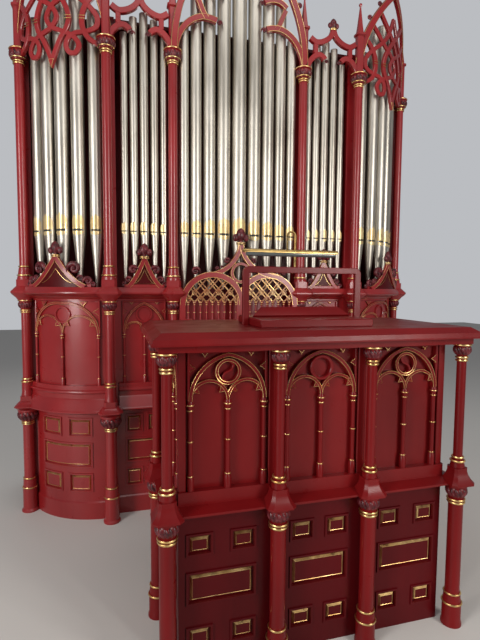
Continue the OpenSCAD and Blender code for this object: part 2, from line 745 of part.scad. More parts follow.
// Music desk on the table
platform_y = front_y + 260;
platform_h = 22;
music_top = table_z + platform_h;
module music_platform() {
    color(crimson) in_place() translate([-210, platform_y, table_z]) cube([620, 330, platform_h]);
}
module music_panel() {
    color(dark_red) in_place() translate([100, platform_y + 120, music_top]) rotate([14, 0, 0])
        translate([-230, 0, 0]) cube([460, 160, 12]);
}
bar_w = 32;
module music_frame() {
    color(crimson) in_place() translate([100 - music_w / 2, platform_y + 78, music_top]) upright(18)
        difference() {
            square([music_w, music_h]);
            translate([bar_w, bar_w]) square([music_w - 2 * bar_w, music_h - 2 * bar_w]);
        }
}
module music_light() {
    tube_z = music_top + music_h + 34;
    color(gold) in_place() translate([100, platform_y + 60, 0]) {
        translate([-200, -30, tube_z]) rotate([0, 90, 0]) cylinder(h = 400, r = 12, $fn = fine);
        translate([0, -30, tube_z - 2]) rotate([-90, 0, 0]) cylinder(h = 50, r = 6, $fn = fine);
        translate([0, 10, music_top + music_h]) cylinder(h = 40, r = 6, $fn = fine);
    }
}

// Keydesk behind the console
key_y0 = desk_back_y - 60;
key_depth = 300;
key_half = desk_side_x - 30;
manual_half = 370;
module key_table() {
    color(dark_red) in_place() translate([-desk_side_x, key_y0, key_z - 54])
        cube([2 * desk_side_x, key_depth, 30]);
}
module key_cheeks() {
    color("peru") in_place() both() translate([-manual_half - 60.3, key_y0 + 40, key_z - 24])
        cube([60, key_depth - 40, 110]);
}
module manual(z, y0, depth) {
    keys = 35;
    pitch = 2 * manual_half / keys;
    for (i = [0:keys - 1]) translate([-manual_half + i * pitch + 0.5, y0, z - 20]) cube([pitch - 1, depth, 20]);
    translate([-manual_half, y0 - 16, z - 24]) cube([2 * manual_half, 16, 24]);
}
module lower_manual() { color("ivory") in_place() manual(key_z, key_y0 + 120, 150); }
module upper_manual() { color("ivory") in_place() manual(key_z + 60, key_y0 + 40, 150); }
module stop_jambs() {
    color(crimson) in_place() both() translate([-desk_side_x + board_t, key_y0, key_z - 24])
        cube([desk_side_x - manual_half - 90, 24, desk_cap_top - key_z + 24]);
}
module stop_knobs() {
    color("ivory") in_place() both() for (i = [0:3], x = [0, 60])
        translate([-desk_side_x + 50 + x, key_y0 + 24, key_z + 60 + i * 70]) rotate([-90, 0, 0])
            cylinder(h = 40, r = 13, $fn = fine);
}
module kneeboard() {
    color(crimson) in_place() translate([-desk_side_x + board_t, key_y0 - 120, 0])
        cube([2 * (desk_side_x - board_t), board_t, key_z - 54]);
}
module pedalboard() {
    pedals = 30;
    pitch = 1000 / pedals;
    y0 = key_y0 - 120 + board_t;
    color("peru") in_place() {
        translate([-530, y0, 0]) cube([1060, 40, 60]);
        translate([-530, y0 + 560, 0]) cube([1060, 40, 50]);
        for (i = [0:pedals - 1]) translate([-500 + i * pitch, y0 + 40, 40]) cube([22, 520, 26]);
    }
}

tower_bases();
narrow_bases();
centre_base();
side_walls();
back_wall();
roof();
case_posts();
lower_columns();
middle_columns();
upper_columns();
ledge();
tower_panels();
narrow_panels();
cornice();
windchest();
centre_screen();
tower_crests();
narrow_crests();
pipes_left_tower();
pipes_left_bay();
pipes_centre();
pipes_right_bay();
pipes_right_tower();
left_tower_arch();
right_tower_arch();
narrow_arches();
centre_arch();
pinnacles();
console_base();
console_ledge();
console_panels();
console_tracery();
console_lower_columns();
console_upper_columns();
console_table();
music_platform();
music_panel();
music_frame();
music_light();
key_table();
key_cheeks();
lower_manual();
upper_manual();
stop_jambs();
stop_knobs();
kneeboard();
pedalboard();
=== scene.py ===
"""Looks of the chamber pipe organ: lacquer, gilding, carved leaves, pipe mouths,
key facings and the brass light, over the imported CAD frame. Metres, +Z up, facade to -Y."""
import math

import bmesh
import bpy
from bpy.props import FloatProperty, FloatVectorProperty, IntProperty, PointerProperty
from mathutils import Matrix, Vector


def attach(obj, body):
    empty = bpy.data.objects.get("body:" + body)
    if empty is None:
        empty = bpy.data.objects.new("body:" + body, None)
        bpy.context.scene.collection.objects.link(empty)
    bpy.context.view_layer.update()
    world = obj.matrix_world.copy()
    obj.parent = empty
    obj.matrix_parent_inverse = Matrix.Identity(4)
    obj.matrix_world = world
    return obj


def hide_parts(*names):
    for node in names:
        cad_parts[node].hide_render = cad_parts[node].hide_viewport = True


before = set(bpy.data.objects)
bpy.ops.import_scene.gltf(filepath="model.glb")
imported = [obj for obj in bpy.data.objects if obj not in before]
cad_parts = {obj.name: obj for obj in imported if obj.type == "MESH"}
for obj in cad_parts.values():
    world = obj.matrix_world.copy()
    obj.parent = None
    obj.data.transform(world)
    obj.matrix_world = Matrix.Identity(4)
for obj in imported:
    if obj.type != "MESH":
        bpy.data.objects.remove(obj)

bl_info = {
    "name": "Pipe Organ Looks",
    "version": (1, 0),
    "blender": (4, 5, 0),
    "location": "3D Viewport > Sidebar > Organ",
    "description": "Finishes, gilding and carving for the packed pipe organ",
    "category": "Object",
}

SIDES = ((-1, "left"), (1, "right"))
# Lengths that several pieces share, in metres
WALL = 0.024
BAY_SHIFT = 0.036
DESK_BACK = -0.5575
BOW_HALF = 0.260


def length(name, description, default):
    """A length in metres that the panel can change."""
    return FloatProperty(name=name, description=description, default=default, unit="LENGTH", precision=4)


def number(name, description, default, unit="NONE"):
    """A number that the panel can change, with its unit where it has one."""
    return FloatProperty(name=name, description=description, default=default, unit=unit)


def colour(name, description, default):
    """A colour that the panel can change."""
    return FloatVectorProperty(name=name, description=description, default=default, subtype="COLOR",
                               min=0.0, max=1.0)


class OrganPlan(bpy.types.PropertyGroup):
    """Where the parts of the case and the console stand."""
    outer_x: length("Outer columns", "Middle of the case to an outer column", 1.364)
    tower_x: length("Tower columns", "Middle of the case to a tower's inner column", 0.837)
    centre_x: length("Centre columns", "Middle of the case to a centre column", 0.439)
    back: length("Outer columns behind", "How far the outer columns stand behind the others", 0.295)
    fore: length("Centre columns behind", "How far the centre columns stand behind the towers'", 0.030)
    front_y: length("Front columns", "Y of the case's front columns", 0.2075)
    bay_back: length("Bay walls behind", "How far the flat bay walls stand behind the front columns", 0.100)
    bow_r: length("Bow radius", "Radius of a tower's bowed wall", 0.5)
    bow_out: length("Bow", "How far the bow stands out in front of its chord", 0.038)
    cornice_top: length("Cornice top", "Height of the cornice's top", 1.489)
    sill_z: length("Case sill", "Height of the sill under the case's upper panels", 0.872)
    panel_spring: length("Panel springing", "Height where the case's panel arches spring", 1.2)
    cornice_z: length("Cornice underside", "Height of the cornice's underside", 1.405)
    spring_z: length("Springing", "Height where the arches spring", 2.962)
    desk_y: length("Console columns", "Y of the console's front columns", -1.0975)
    desk_outer_x: length("Console outer columns", "Middle of the console to an outer column", 0.633)
    desk_inner_x: length("Console inner columns", "Middle of the console to an inner column", 0.199)
    desk_row: length("Console rows", "Distance between the console's front and rear columns", 0.390)
    desk_sill: length("Console sill", "Height of the sill under the console's panels", 0.720)
    desk_spring: length("Console springing", "Height where the console's arches spring", 1.067)
    desk_top: length("Console wall top", "Height of the console wall under the table", 1.263)
    desk_front: length("Console front", "Y of the console's front wall", -1.0515)
    desk_side: length("Console side", "Middle of the console to its side wall", 0.587)
    table_z: length("Table", "Height of the console table", 1.335)


class OrganGilding(bpy.types.PropertyGroup):
    """Sizes of the gilt lines and rings."""
    case_line: length("Case line", "Thickness of a gilt line on the case", 0.0036)
    desk_line: length("Console line", "Thickness of a gilt line on the console", 0.0023)
    ring: length("Ring", "Thickness of a gilt ring on a column", 0.0088)
    capital_ring: length("Capital ring", "Thickness of a gilt ring on a capital", 0.0066)
    thin_ring: length("Thin ring", "Thickness of a gilt ring on a slender shaft", 0.0044)
    collar: length("Collar", "Thickness of a gilt collar under a finial of the screen and crests", 0.00528)
    arch_collar: length("Arch collar", "Thickness of a gilt collar under a finial of an arch", 0.00616)
    relief_line: length("Relief line", "Thickness of a gilt line on carved tracery", 0.0028)
    lattice_line: length("Lattice line", "Thickness of a gilt line on the screen's lattice", 0.00242)


class OrganColours(bpy.types.PropertyGroup):
    """The main colours, in linear light."""
    # The case's tones are lighter than the console's lacquer: its own red with painted light for the window
    # reflections on the case.
    case_deep: colour("Case, deep", "Deepest tone of the case's lacquer", (0.20, 0.007, 0.009))
    case_full: colour("Case", "Full tone of the case's lacquer", (0.33, 0.016, 0.018))
    desk_deep: colour("Console, deep", "Deepest tone of the console's lacquer", (0.115, 0.003, 0.004))
    desk_full: colour("Console", "Full tone of the console's lacquer", (0.185, 0.006, 0.007))
    # The base tones are the console's lacquer made darker: painted shade for its lowest stage, which lies in
    # shadow under the ledge.
    base_deep: colour("Base, deep", "Deepest tone of the console's lowest stage", (0.055, 0.002, 0.003))
    base_full: colour("Base", "Full tone of the console's lowest stage", (0.095, 0.003, 0.005))
    inner_deep: colour("Inside, deep", "Deepest tone of the case's back and inside", (0.06, 0.003, 0.004))
    inner_full: colour("Inside", "Full tone of the case's back and inside", (0.11, 0.005, 0.007))
    gold_dark: colour("Gold, dark", "Dull tone of the gilding", (0.64, 0.38, 0.13))
    gold_light: colour("Gold", "Bright tone of the gilding", (0.90, 0.66, 0.30))
    mouth_dark: colour("Mouths, dark", "Dull tone of the gilt pipe mouths", (0.66, 0.48, 0.22))
    mouth_light: colour("Mouths", "Bright tone of the gilt pipe mouths", (0.80, 0.63, 0.34))
    metal_dull: colour("Pipes, dull", "Dull tone of the pipe metal", (0.46, 0.42, 0.36))
    metal_light: colour("Pipes", "Bright tone of the pipe metal", (0.66, 0.62, 0.55))
    naturals: colour("Naturals", "Bone on the natural keys", (0.70, 0.62, 0.45))
    knobs: colour("Knobs", "Bone of the stop knobs", (0.68, 0.60, 0.44))


class OrganCarving(bpy.types.PropertyGroup):
    """Shape of the carved leaves."""
    leaves: IntProperty(name="Leaves", description="Leaves round a capital", default=7, min=3)
    twist: number("Twist", "Turn of a capital's leaves", 1.15, "ROTATION")
    depth: number("Depth", "Depth of the leaves, as a share of the radius", 0.2)


class OrganPipes(bpy.types.PropertyGroup):
    """Sizes of the front pipes, as the CAD has them."""
    mouth_z: length("Mouths", "Height of the pipe mouths", 1.84)
    centre_d: length("Centre pipe", "Diameter of the biggest pipe in the centre bay", 0.096)
    narrow_d: length("Narrow bay pipe", "Diameter of the middle pipe of a narrow bay", 0.052)
    tower_d: length("Tower pipe", "Diameter of the middle pipe of a tower", 0.084)
    row_back: length("Pipe row", "How far the flat rows stand behind the front columns", 0.062)


class OrganStage(bpy.types.PropertyGroup):
    """Camera and studio light."""
    eye: FloatVectorProperty(name="Camera", description="Camera place", subtype="XYZ", unit="LENGTH",
                             default=(-0.813, -2.730, 1.5))
    yaw: number("Yaw", "Turn of the view to the right", math.radians(15.47), "ROTATION")
    pitch: number("Pitch", "Tilt of the view", math.radians(-4.19), "ROTATION")
    roll: number("Roll", "Roll of the camera", math.radians(0.41), "ROTATION")
    lens: number("Lens", "Focal length on a 36 mm sensor, in millimetres", 25.76, "CAMERA")
    key: number("Window light", "Power of each tall soft light", 165.0, "POWER")
    fill: number("Fill light", "Power of the weak lights above and behind", 34.0, "POWER")
    world: number("World", "Strength of the light from all round", 0.26)


def settings():
    """The scene's own settings, one group for each subject."""
    scene = bpy.context.scene
    return scene.organ_plan, scene.organ_gilding, scene.organ_carving, scene.organ_pipes, scene.organ_stage


# Node materials

class Shade:
    """A node material built in few words; everything is placed by Object coordinates."""

    def __init__(self, name, colour, **sockets):
        self.material = bpy.data.materials.new(name)
        self.material.use_nodes = True
        self.tree = self.material.node_tree
        self.shader = self.tree.nodes["Principled BSDF"]
        self.shader.inputs["Base Color"].default_value = (*colour, 1)
        for key, value in sockets.items():
            self.shader.inputs[key.replace("_", " ").title().replace("Ior", "IOR")].default_value = value
        self.place = self.tree.nodes.new("ShaderNodeTexCoord").outputs["Object"]

    def node(self, kind, links=(), **values):
        """A node with its properties set and its inputs linked or set by name."""
        made = self.tree.nodes.new("ShaderNode" + kind)
        for key, value in values.items():
            setattr(made, key, value)
        for socket, value in dict(links).items():
            if hasattr(value, "is_output"):
                self.tree.links.new(value, made.inputs[socket])
            else:
                made.inputs[socket].default_value = value
        return made

    def noise(self, scale, detail=3.0, stretch=(1, 1, 1)):
        """Noise in metres, stretched along the axes."""
        mapped = self.node("Mapping", {"Vector": self.place, "Scale": stretch})
        inputs = {"Vector": mapped.outputs[0], "Scale": scale, "Detail": detail}
        return self.node("TexNoise", inputs).outputs[0]

    def ramp(self, value, stops):
        """A colour ramp with stops as (position, colour)."""
        made = self.node("ValToRGB", {"Fac": value})
        ramp = made.color_ramp
        while len(ramp.elements) < len(stops):
            ramp.elements.new(0.5)
        for element, (position, colour) in zip(ramp.elements, stops):
            element.position = position
            element.color = (*colour, 1)
        return made.outputs[0]

    def fit(self, value, low, high, start=0.0, end=1.0):
        """A value mapped from one range to another."""
        made = self.node("MapRange", {"Value": value, "From Min": start, "From Max": end,
                                      "To Min": low, "To Max": high})
        return made.outputs[0]

    def mix(self, factor, first, second):
        """Two colours mixed by a factor."""
        made = self.node("Mix", data_type="RGBA")
        for index, value in ((0, factor), (6, first), (7, second)):
            if hasattr(value, "is_output"):
                self.tree.links.new(value, made.inputs[index])
            else:
                made.inputs[index].default_value = value if index == 0 else (*value, 1)
        return made.outputs[2]

    def axis(self, letter):
        """One Object coordinate, in metres."""
        return self.node("SeparateXYZ", {"Vector": self.place}).outputs[letter]

    def above(self, value, level, soft):
        """0 below a level and 1 above it."""
        return self.fit(value, 0.0, 1.0, level - soft, level + soft)

    def colour(self, value):
        """Links the base colour."""
        self.tree.links.new(value, self.shader.inputs["Base Color"])
        return self

    def rough(self, value):
        """Links the roughness."""
        self.tree.links.new(value, self.shader.inputs["Roughness"])
        return self

    def gloss(self, scale, detail, low, high):
        """Uneven gloss from noise."""
        return self.rough(self.fit(self.noise(scale, detail), low, high, 0.3, 0.7))

    def bump(self, value, distance, strength=0.5):
        """A bump from a value."""
        made = self.node("Bump", {"Height": value, "Distance": distance, "Strength": strength})
        self.tree.links.new(made.outputs[0], self.shader.inputs["Normal"])
        return self


def lacquer(name, deep, full, rough=0.36, coat=0.12, level=0.16):
    """Lacquer over carved wood: slow colour drift, faint grain and uneven gloss."""
    shade = Shade(name, full, coat_weight=coat, coat_roughness=0.18, specular_ior_level=level)
    drift = shade.noise(2.3, 4.0, (1, 1, 0.6))
    grain = shade.noise(38.0, 5.0, (1, 1, 0.05))
    tone = shade.ramp(drift, ((0.32, deep), (0.68, full)))
    dusty = tuple(c * 0.82 for c in full)
    shade.colour(shade.mix(shade.fit(grain, 0.0, 0.5, 0.45, 0.75), tone, dusty))
    shade.gloss(9.0, 4.0, rough - 0.07, rough + 0.10)
    shade.bump(shade.noise(95.0, 4.0, (1, 1, 0.12)), 0.0006, 0.25)
    return shade.material


def carved(name):
    """Carved leaves in dark aubergine over old red, rubbed lighter in places."""
    shade = Shade(name, (0.09, 0.02, 0.03), coat_weight=0.2, coat_roughness=0.2, specular_ior_level=0.3)
    tones = ((0.3, (0.028, 0.003, 0.005)), (0.55, (0.11, 0.010, 0.015)), (0.8, (0.26, 0.05, 0.055)))
    shade.colour(shade.ramp(shade.noise(46.0, 5.0), tones))
    shade.gloss(30.0, 3.0, 0.25, 0.5)
    shade.bump(shade.noise(240.0, 3.0), 0.0015, 0.6)
    return shade.material


def leafgold(name, dark, light, worn=0.35, metal=1.0):
    """Old gold leaf, rubbed thin over red bole."""
    shade = Shade(name, (0.83, 0.55, 0.22), metallic=metal, roughness=0.34)
    rubbed = shade.fit(shade.noise(70.0, 6.0), 0.0, worn, 0.5, 0.72)
    tone = shade.ramp(shade.noise(14.0, 3.0), ((0.3, dark), (0.7, light)))
    shade.colour(shade.mix(rubbed, tone, (0.26, 0.09, 0.04)))
    shade.gloss(25.0, 4.0, 0.24, 0.46)
    return shade.material


def pipe_metal(name, dull, light):
    """Tin and lead alloy: long drawn streaks, dull patches and a bright skin."""
    shade = Shade(name, (0.6, 0.57, 0.51), metallic=1.0, roughness=0.33)
    streak = shade.noise(30.0, 4.0, (1, 1, 0.03))
    patch = shade.noise(6.0, 5.0, (1, 1, 0.35))
    tone = shade.ramp(patch, ((0.3, dull), (0.65, light)))
    shade.colour(shade.mix(shade.fit(streak, 0.0, 0.3, 0.45, 0.7), tone, (0.38, 0.33, 0.26)))
    shade.rough(shade.fit(patch, 0.34, 0.48, 0.3, 0.75))
    shade.bump(streak, 0.0006, 0.1)
    return shade.material


def brass(name):
    """Aged brass with a soft brown bloom."""
    shade = Shade(name, (0.62, 0.41, 0.15), metallic=1.0, roughness=0.3)
    shade.colour(shade.ramp(shade.noise(20.0, 5.0), ((0.35, (0.42, 0.26, 0.09)), (0.7, (0.75, 0.54, 0.22)))))
    shade.gloss(45.0, 3.0, 0.22, 0.42)
    return shade.material


def timber(name, dark, light, along=(0.06, 1, 1)):
    """Waxed or worn wood with its grain along one axis."""
    shade = Shade(name, light, coat_weight=0.15, coat_roughness=0.3)
    rings = shade.noise(60.0, 6.0, along)
    shade.colour(shade.ramp(rings, ((0.3, dark), (0.7, light))))
    shade.rough(shade.fit(rings, 0.52, 0.34, 0.3, 0.7))
    shade.bump(rings, 0.0008, 0.35)
    return shade.material


def key_facings(name, bed, natural, manuals):
    """Bone naturals, ebony sharps and wooden beds, told apart by their height."""
    shade = Shade(name, natural, coat_weight=0.3, coat_roughness=0.12)
    z = shade.axis("Z")
    shadow = tuple(c * 0.86 for c in natural)
    tone = shade.ramp(shade.noise(55.0, 4.0, (1, 0.1, 1)), ((0.3, shadow), (0.7, natural)))
    sharp_top, bed_top, ebony = 0.0115, 0.0205, (0.012, 0.011, 0.011)

    def both(first, second):
        """1 where both are 1."""
        return shade.node("Math", {0: first, 1: second}, operation="MULTIPLY").outputs[0]

    for top in manuals:
        over = shade.above(z, top + 0.0006, 0.0002)
        under = shade.fit(z, 1.0, 0.0, top - bed_top - 0.001, top - bed_top)
        short = shade.fit(z, 1.0, 0.0, top + sharp_top - 0.0005, top + sharp_top)
        tone = shade.mix(both(over, short), tone, ebony)
        if top != manuals[0]:
            under = both(under, shade.above(z, manuals[0] + sharp_top, 0.0002))
        tone = shade.mix(under, tone, bed)
    shade.colour(tone)
    shade.gloss(80.0, 3.0, 0.2, 0.38)
    return shade.material


def plain_gloss(name, colour, rough):
    """A smooth finish with a little unevenness, for glass and bone."""
    scale = 50.0
    shade = Shade(name, colour, coat_weight=0.3, coat_roughness=0.08)
    shade.colour(shade.ramp(shade.noise(scale, 3.0), ((0.3, tuple(c * 0.85 for c in colour)), (0.7, colour))))
    shade.gloss(scale, 3.0, rough * 0.8, rough * 1.3)
    return shade.material


# Maker and values of each finish; a word stands for one of the colour settings
FINISHES = {
    # The case's crimson is the lacquer lightened with painted light.
    "crimson": (lacquer, "case_deep", "case_full", 0.33, 0.4, 0.4),
    "desk_crimson": (lacquer, "desk_deep", "desk_full", 0.34),
    # The base's darker lacquer is painted shade, for the console's lowest stage, its panels and the sunk
    # crest fields.
    "base_crimson": (lacquer, "base_deep", "base_full", 0.36, 0.08, 0.1),
    "inner_red": (lacquer, "inner_deep", "inner_full", 0.5, 0.08),
    "carved_leaf": (carved,),
    "gold_leaf": (leafgold, "gold_dark", "gold_light"),
    "mouth_gold": (leafgold, "mouth_dark", "mouth_light", 0.05, 0.55),
    # mouth_dark: near-black plates in the pipe mouths, painted shade for the dark inside of each pipe.
    "mouth_dark": (plain_gloss, (0.03, 0.026, 0.022), 0.7),
    "pipe_tin": (pipe_metal, "metal_dull", "metal_light"),
    "old_brass": (brass,),
    "key_walnut": (timber, (0.16, 0.06, 0.02), (0.36, 0.17, 0.06)),
    "pedal_wood": (timber, (0.17, 0.09, 0.035), (0.38, 0.23, 0.10), (1, 0.06, 1)),
    "key_facing": (key_facings, (0.2, 0.09, 0.035), "naturals", (0.82, 0.88)),
    "knob_bone": (plain_gloss, "knobs", 0.3),
    "tube_glass": (plain_gloss, (0.10, 0.11, 0.11), 0.12),
}


def finish_of(name):
    """The named material, made on first use."""
    maker, *values = FINISHES[name]
    colours = bpy.context.scene.organ_colours
    values = [tuple(getattr(colours, v)) if isinstance(v, str) else v for v in values]
    return bpy.data.materials.get(name) or maker(name, *values)


# Mesh and Geometry Nodes helpers

def linked(name, data):
    """An object for a mesh, a camera or a lamp, linked to the scene."""
    obj = bpy.data.objects.new(name, data)
    bpy.context.scene.collection.objects.link(obj)
    return obj


def mesh_of(name, build):
    """A mesh object from a function that fills a bmesh."""
    bm = bmesh.new()
    build(bm)
    mesh = bpy.data.meshes.new(name)
    bm.to_mesh(mesh)
    bm.free()
    return linked(name, mesh)


def circle(count):
    """The angles of even steps round a turn."""
    return [2 * math.pi * k / count for k in range(count)]


def loft(bm, loops, closed=False):
    """A skin over loops of vertices; its ends get a face, or meet where it is closed."""
    for low, high in list(zip(loops, loops[1:])) + ([(loops[-1], loops[0])] if closed else []):
        for i in range(len(low)):
            j = (i + 1) % len(low)
            bm.faces.new((low[i], low[j], high[j], high[i]))
    if not closed:
        bm.faces.new(loops[0][::-1])
        bm.faces.new(loops[-1])


def lathe(bm, profile, around):
    """A turning about Z from (radius, height) points."""
    turns = [(math.cos(a), math.sin(a)) for a in circle(around)]
    loft(bm, [[bm.verts.new((r * x, r * y, z)) for x, y in turns] for r, z in profile])
    bmesh.ops.recalc_face_normals(bm, faces=bm.faces)


def by_place(bm):
    """Sorts vertices and faces by place, because a sphere's own order changes from run to run."""
    weights = Vector((1.0, 7.13, 31.7))
    bm.verts.sort(key=lambda vert: vert.co.dot(weights))
    bm.faces.sort(key=lambda face: face.calc_center_median().dot(weights))


def smooth_faces(obj, angle=40):
    """Shades the faces smooth, apart from edges sharper than the angle."""
    obj.data.polygons.foreach_set("use_smooth", [True] * len(obj.data.polygons))
    obj.data.set_sharp_from_angle(angle=math.radians(angle))


def tree_with(name, inputs):
    """An empty Geometry Nodes tree with named inputs as (name, socket kind, default)."""
    tree = bpy.data.node_groups.new(name, "GeometryNodeTree")
    tree.interface.new_socket("Geometry", in_out="INPUT", socket_type="NodeSocketGeometry")
    tree.interface.new_socket("Geometry", in_out="OUTPUT", socket_type="NodeSocketGeometry")
    for label, kind, default in (*inputs, ("Material", "Material", None)):
        socket = tree.interface.new_socket(label, in_out="INPUT", socket_type="NodeSocket" + kind)
        if default is not None:
            socket.default_value = default
    return tree, tree.nodes.new("NodeGroupInput").outputs


def wire(tree, kind, **inputs):
    """Adds a Geometry Nodes node, its inputs linked or set; _ in a name stands for a space."""
    made = tree.nodes.new(kind)
    for key, value in inputs.items():
        if key.startswith("set_"):
            setattr(made, key[4:], value)
    for key, value in inputs.items():
        if key.startswith("set_"):
            continue
        label = key.replace("_", " ")
        socket = next(s for s in made.inputs if s.name == label and s.enabled)
        if hasattr(value, "is_output"):
            tree.links.new(value, socket)
        else:
            socket.default_value = value
    return made


def vector_attribute(tree, name):
    """A named vector that comes with the points."""
    made = wire(tree, "GeometryNodeInputNamedAttribute", set_data_type="FLOAT_VECTOR")
    made.inputs["Name"].default_value = name
    return next(s for s in made.outputs if s.name == "Attribute" and s.enabled)


def laid(tree, points, piece):
    """The piece at each point, with the turn and size that come with the point."""
    turn = wire(tree, "FunctionNodeEulerToRotation", Euler=vector_attribute(tree, "turn")).outputs[0]
    return wire(tree, "GeometryNodeInstanceOnPoints", Points=points, Instance=piece, Rotation=turn,
                Scale=vector_attribute(tree, "size")).outputs[0]


def realized(tree, instances):
    """Geometry of its own in place of instances."""
    return wire(tree, "GeometryNodeRealizeInstances", Geometry=instances).outputs[0]


def round_bar(tree, curve, thickness, sides):
    """A round bar of some thickness along a curve, its ends closed."""
    radius = wire(tree, "ShaderNodeMath", set_operation="MULTIPLY")
    tree.links.new(thickness, radius.inputs[0])
    radius.inputs[1].default_value = 0.5
    section = wire(tree, "GeometryNodeCurvePrimitiveCircle", Resolution=sides, Radius=radius.outputs[0])
    return wire(tree, "GeometryNodeCurveToMesh", Curve=curve, Profile_Curve=section.outputs[0],
                Fill_Caps=True).outputs[0]


def ended(tree, geometry, material):
    """Ends a tree in Realize Instances and Set Material."""
    done = wire(tree, "GeometryNodeSetMaterial", Geometry=realized(tree, geometry),
                Material=material).outputs[0]
    tree.links.new(done, tree.nodes.new("NodeGroupOutput").inputs[0])
    return tree


def line_tree():
    """Turns a mesh of edges into round lines."""
    tree, given = tree_with("Gilt line", (("Thickness", "Float", 0.004),))
    curve = wire(tree, "GeometryNodeMeshToCurve", Mesh=given["Geometry"]).outputs[0]
    return ended(tree, round_bar(tree, curve, given["Thickness"], 5), given["Material"])


def ring_tree():
    """Lays a ring at each point: its radius and turn come with the points, its thickness is even."""
    tree, given = tree_with("Gilt ring", (("Thickness", "Float", 0.008), ("Steps", "Int", 28)))
    hoop = wire(tree, "GeometryNodeCurvePrimitiveCircle", Resolution=given["Steps"], Radius=1.0).outputs[0]
    hoops = realized(tree, laid(tree, given["Geometry"], hoop))
    return ended(tree, round_bar(tree, hoops, given["Thickness"], 6), given["Material"])


def scatter_tree():
    """Stands a copy of a piece at each point, with the size and turn that come with the point."""
    tree, given = tree_with("Carving", (("Piece", "Object", None),))
    piece = wire(tree, "GeometryNodeObjectInfo", Object=given["Piece"]).outputs["Geometry"]
    return ended(tree, laid(tree, given["Geometry"], piece), given["Material"])


TREES = {"Gilt line": line_tree, "Gilt ring": ring_tree, "Carving": scatter_tree}


def grown(obj, tree_name, **inputs):
    """Runs a tree on an object and keeps the result as a plain mesh."""
    tree = bpy.data.node_groups.get(tree_name) or TREES[tree_name]()
    modifier = obj.modifiers.new(tree_name, "NODES")
    modifier.node_group = tree
    for item in tree.interface.items_tree:
        if item.in_out == "INPUT" and item.name in inputs:
            modifier[item.identifier] = inputs[item.name]
    obj.update_tag()
    evaluated = obj.evaluated_get(bpy.context.evaluated_depsgraph_get())
    mesh = bpy.data.meshes.new_from_object(evaluated)
    obj.modifiers.remove(modifier)
    mesh.name = obj.name
    obj.data = mesh
    return obj


def points_object(name, points):
    """Points as (place, size, turn), with size and turn kept as attributes."""
    mesh = bpy.data.meshes.new(name)
    mesh.from_pydata([p[0] for p in points], [], [])
    for label, index in (("size", 1), ("turn", 2)):
        layer = mesh.attributes.new(label, "FLOAT_VECTOR", "POINT")
        layer.data.foreach_set("vector", [c for p in points for c in p[index]])
    return linked(name, mesh)


def standing(feet, z, size=(1, 1, 1)):
    """Upright points of one size over some feet."""
    return [(foot + Vector((0, 0, z)), size, (0, 0, 0)) for foot in feet]


def riding(obj):
    """Hands a finished piece to the frame."""
    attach(obj, "root")
    return obj


def rings(name, points, thickness, steps=28):
    """Gilt rings as (place, radius), or as (place, half width, half depth, turn) where they are oval."""
    full = [p if len(p) == 4 else (p[0], p[1], p[1], 0.0) for p in points]
    obj = points_object(name, [(p, (a, b, 1), (0, 0, turn)) for p, a, b, turn in full])
    grown(obj, "Gilt ring", Thickness=thickness, Steps=steps, Material=finish_of("gold_leaf"))
    smooth_faces(obj, 60)
    return riding(obj)


def carvings(name, source, points, material, angle=50):
    """Copies of a source at the points; the source itself is removed."""
    obj = points_object(name, points)
    grown(obj, "Carving", Piece=source, Material=finish_of(material))
    bpy.data.objects.remove(source)
    smooth_faces(obj, angle)
    return riding(obj)


def gilt_lines(name, edges, thickness):
    """A round gilt line along each of the edges, as pairs of points."""
    index, verts, pairs = {}, [], []
    for pair in edges:
        ends = []
        for place in pair:
            key = tuple(round(c, 5) for c in place)
            if key not in index:
                index[key] = len(verts)
                verts.append(place)
            ends.append(index[key])
        if ends[0] != ends[1]:
            pairs.append(ends)
    mesh = bpy.data.meshes.new(name)
    mesh.from_pydata(verts, pairs, [])
    obj = linked(name, mesh)
    grown(obj, "Gilt line", Thickness=thickness, Material=finish_of("gold_leaf"))
    smooth_faces(obj, 60)
    return riding(obj)


# Places of the columns and the towers

def tower_axis(side):
    """The axis of a tower's bow and the way it looks; side is -1 for the left tower, 1 for the right."""
    plan = settings()[0]
    out = Vector((-plan.back, -(plan.outer_x - plan.tower_x))).normalized()
    middle = Vector((-(plan.outer_x + plan.tower_x) / 2, plan.front_y + plan.back / 2))
    centre = middle - out * (plan.bow_r - plan.bow_out)
    return Vector((-side * centre.x, centre.y, 0)), Vector((-side * out.x, out.y, 0))


def case_columns():
    """Feet of the case's six columns."""
    plan = settings()[0]
    left = ((-plan.outer_x, plan.back), (-plan.tower_x, 0), (-plan.centre_x, plan.fore))
    return [Vector((s * x, plan.front_y + y, 0)) for s in (1, -1) for x, y in left]


def desk_columns():
    """Feet of the console's six columns."""
    plan = settings()[0]
    xs = (-plan.desk_outer_x, -plan.desk_inner_x, plan.desk_inner_x, plan.desk_outer_x)
    rear = [Vector((s * plan.desk_outer_x, plan.desk_y + plan.desk_row, 0)) for s, _ in SIDES]
    return [Vector((x, plan.desk_y, 0)) for x in xs] + rear


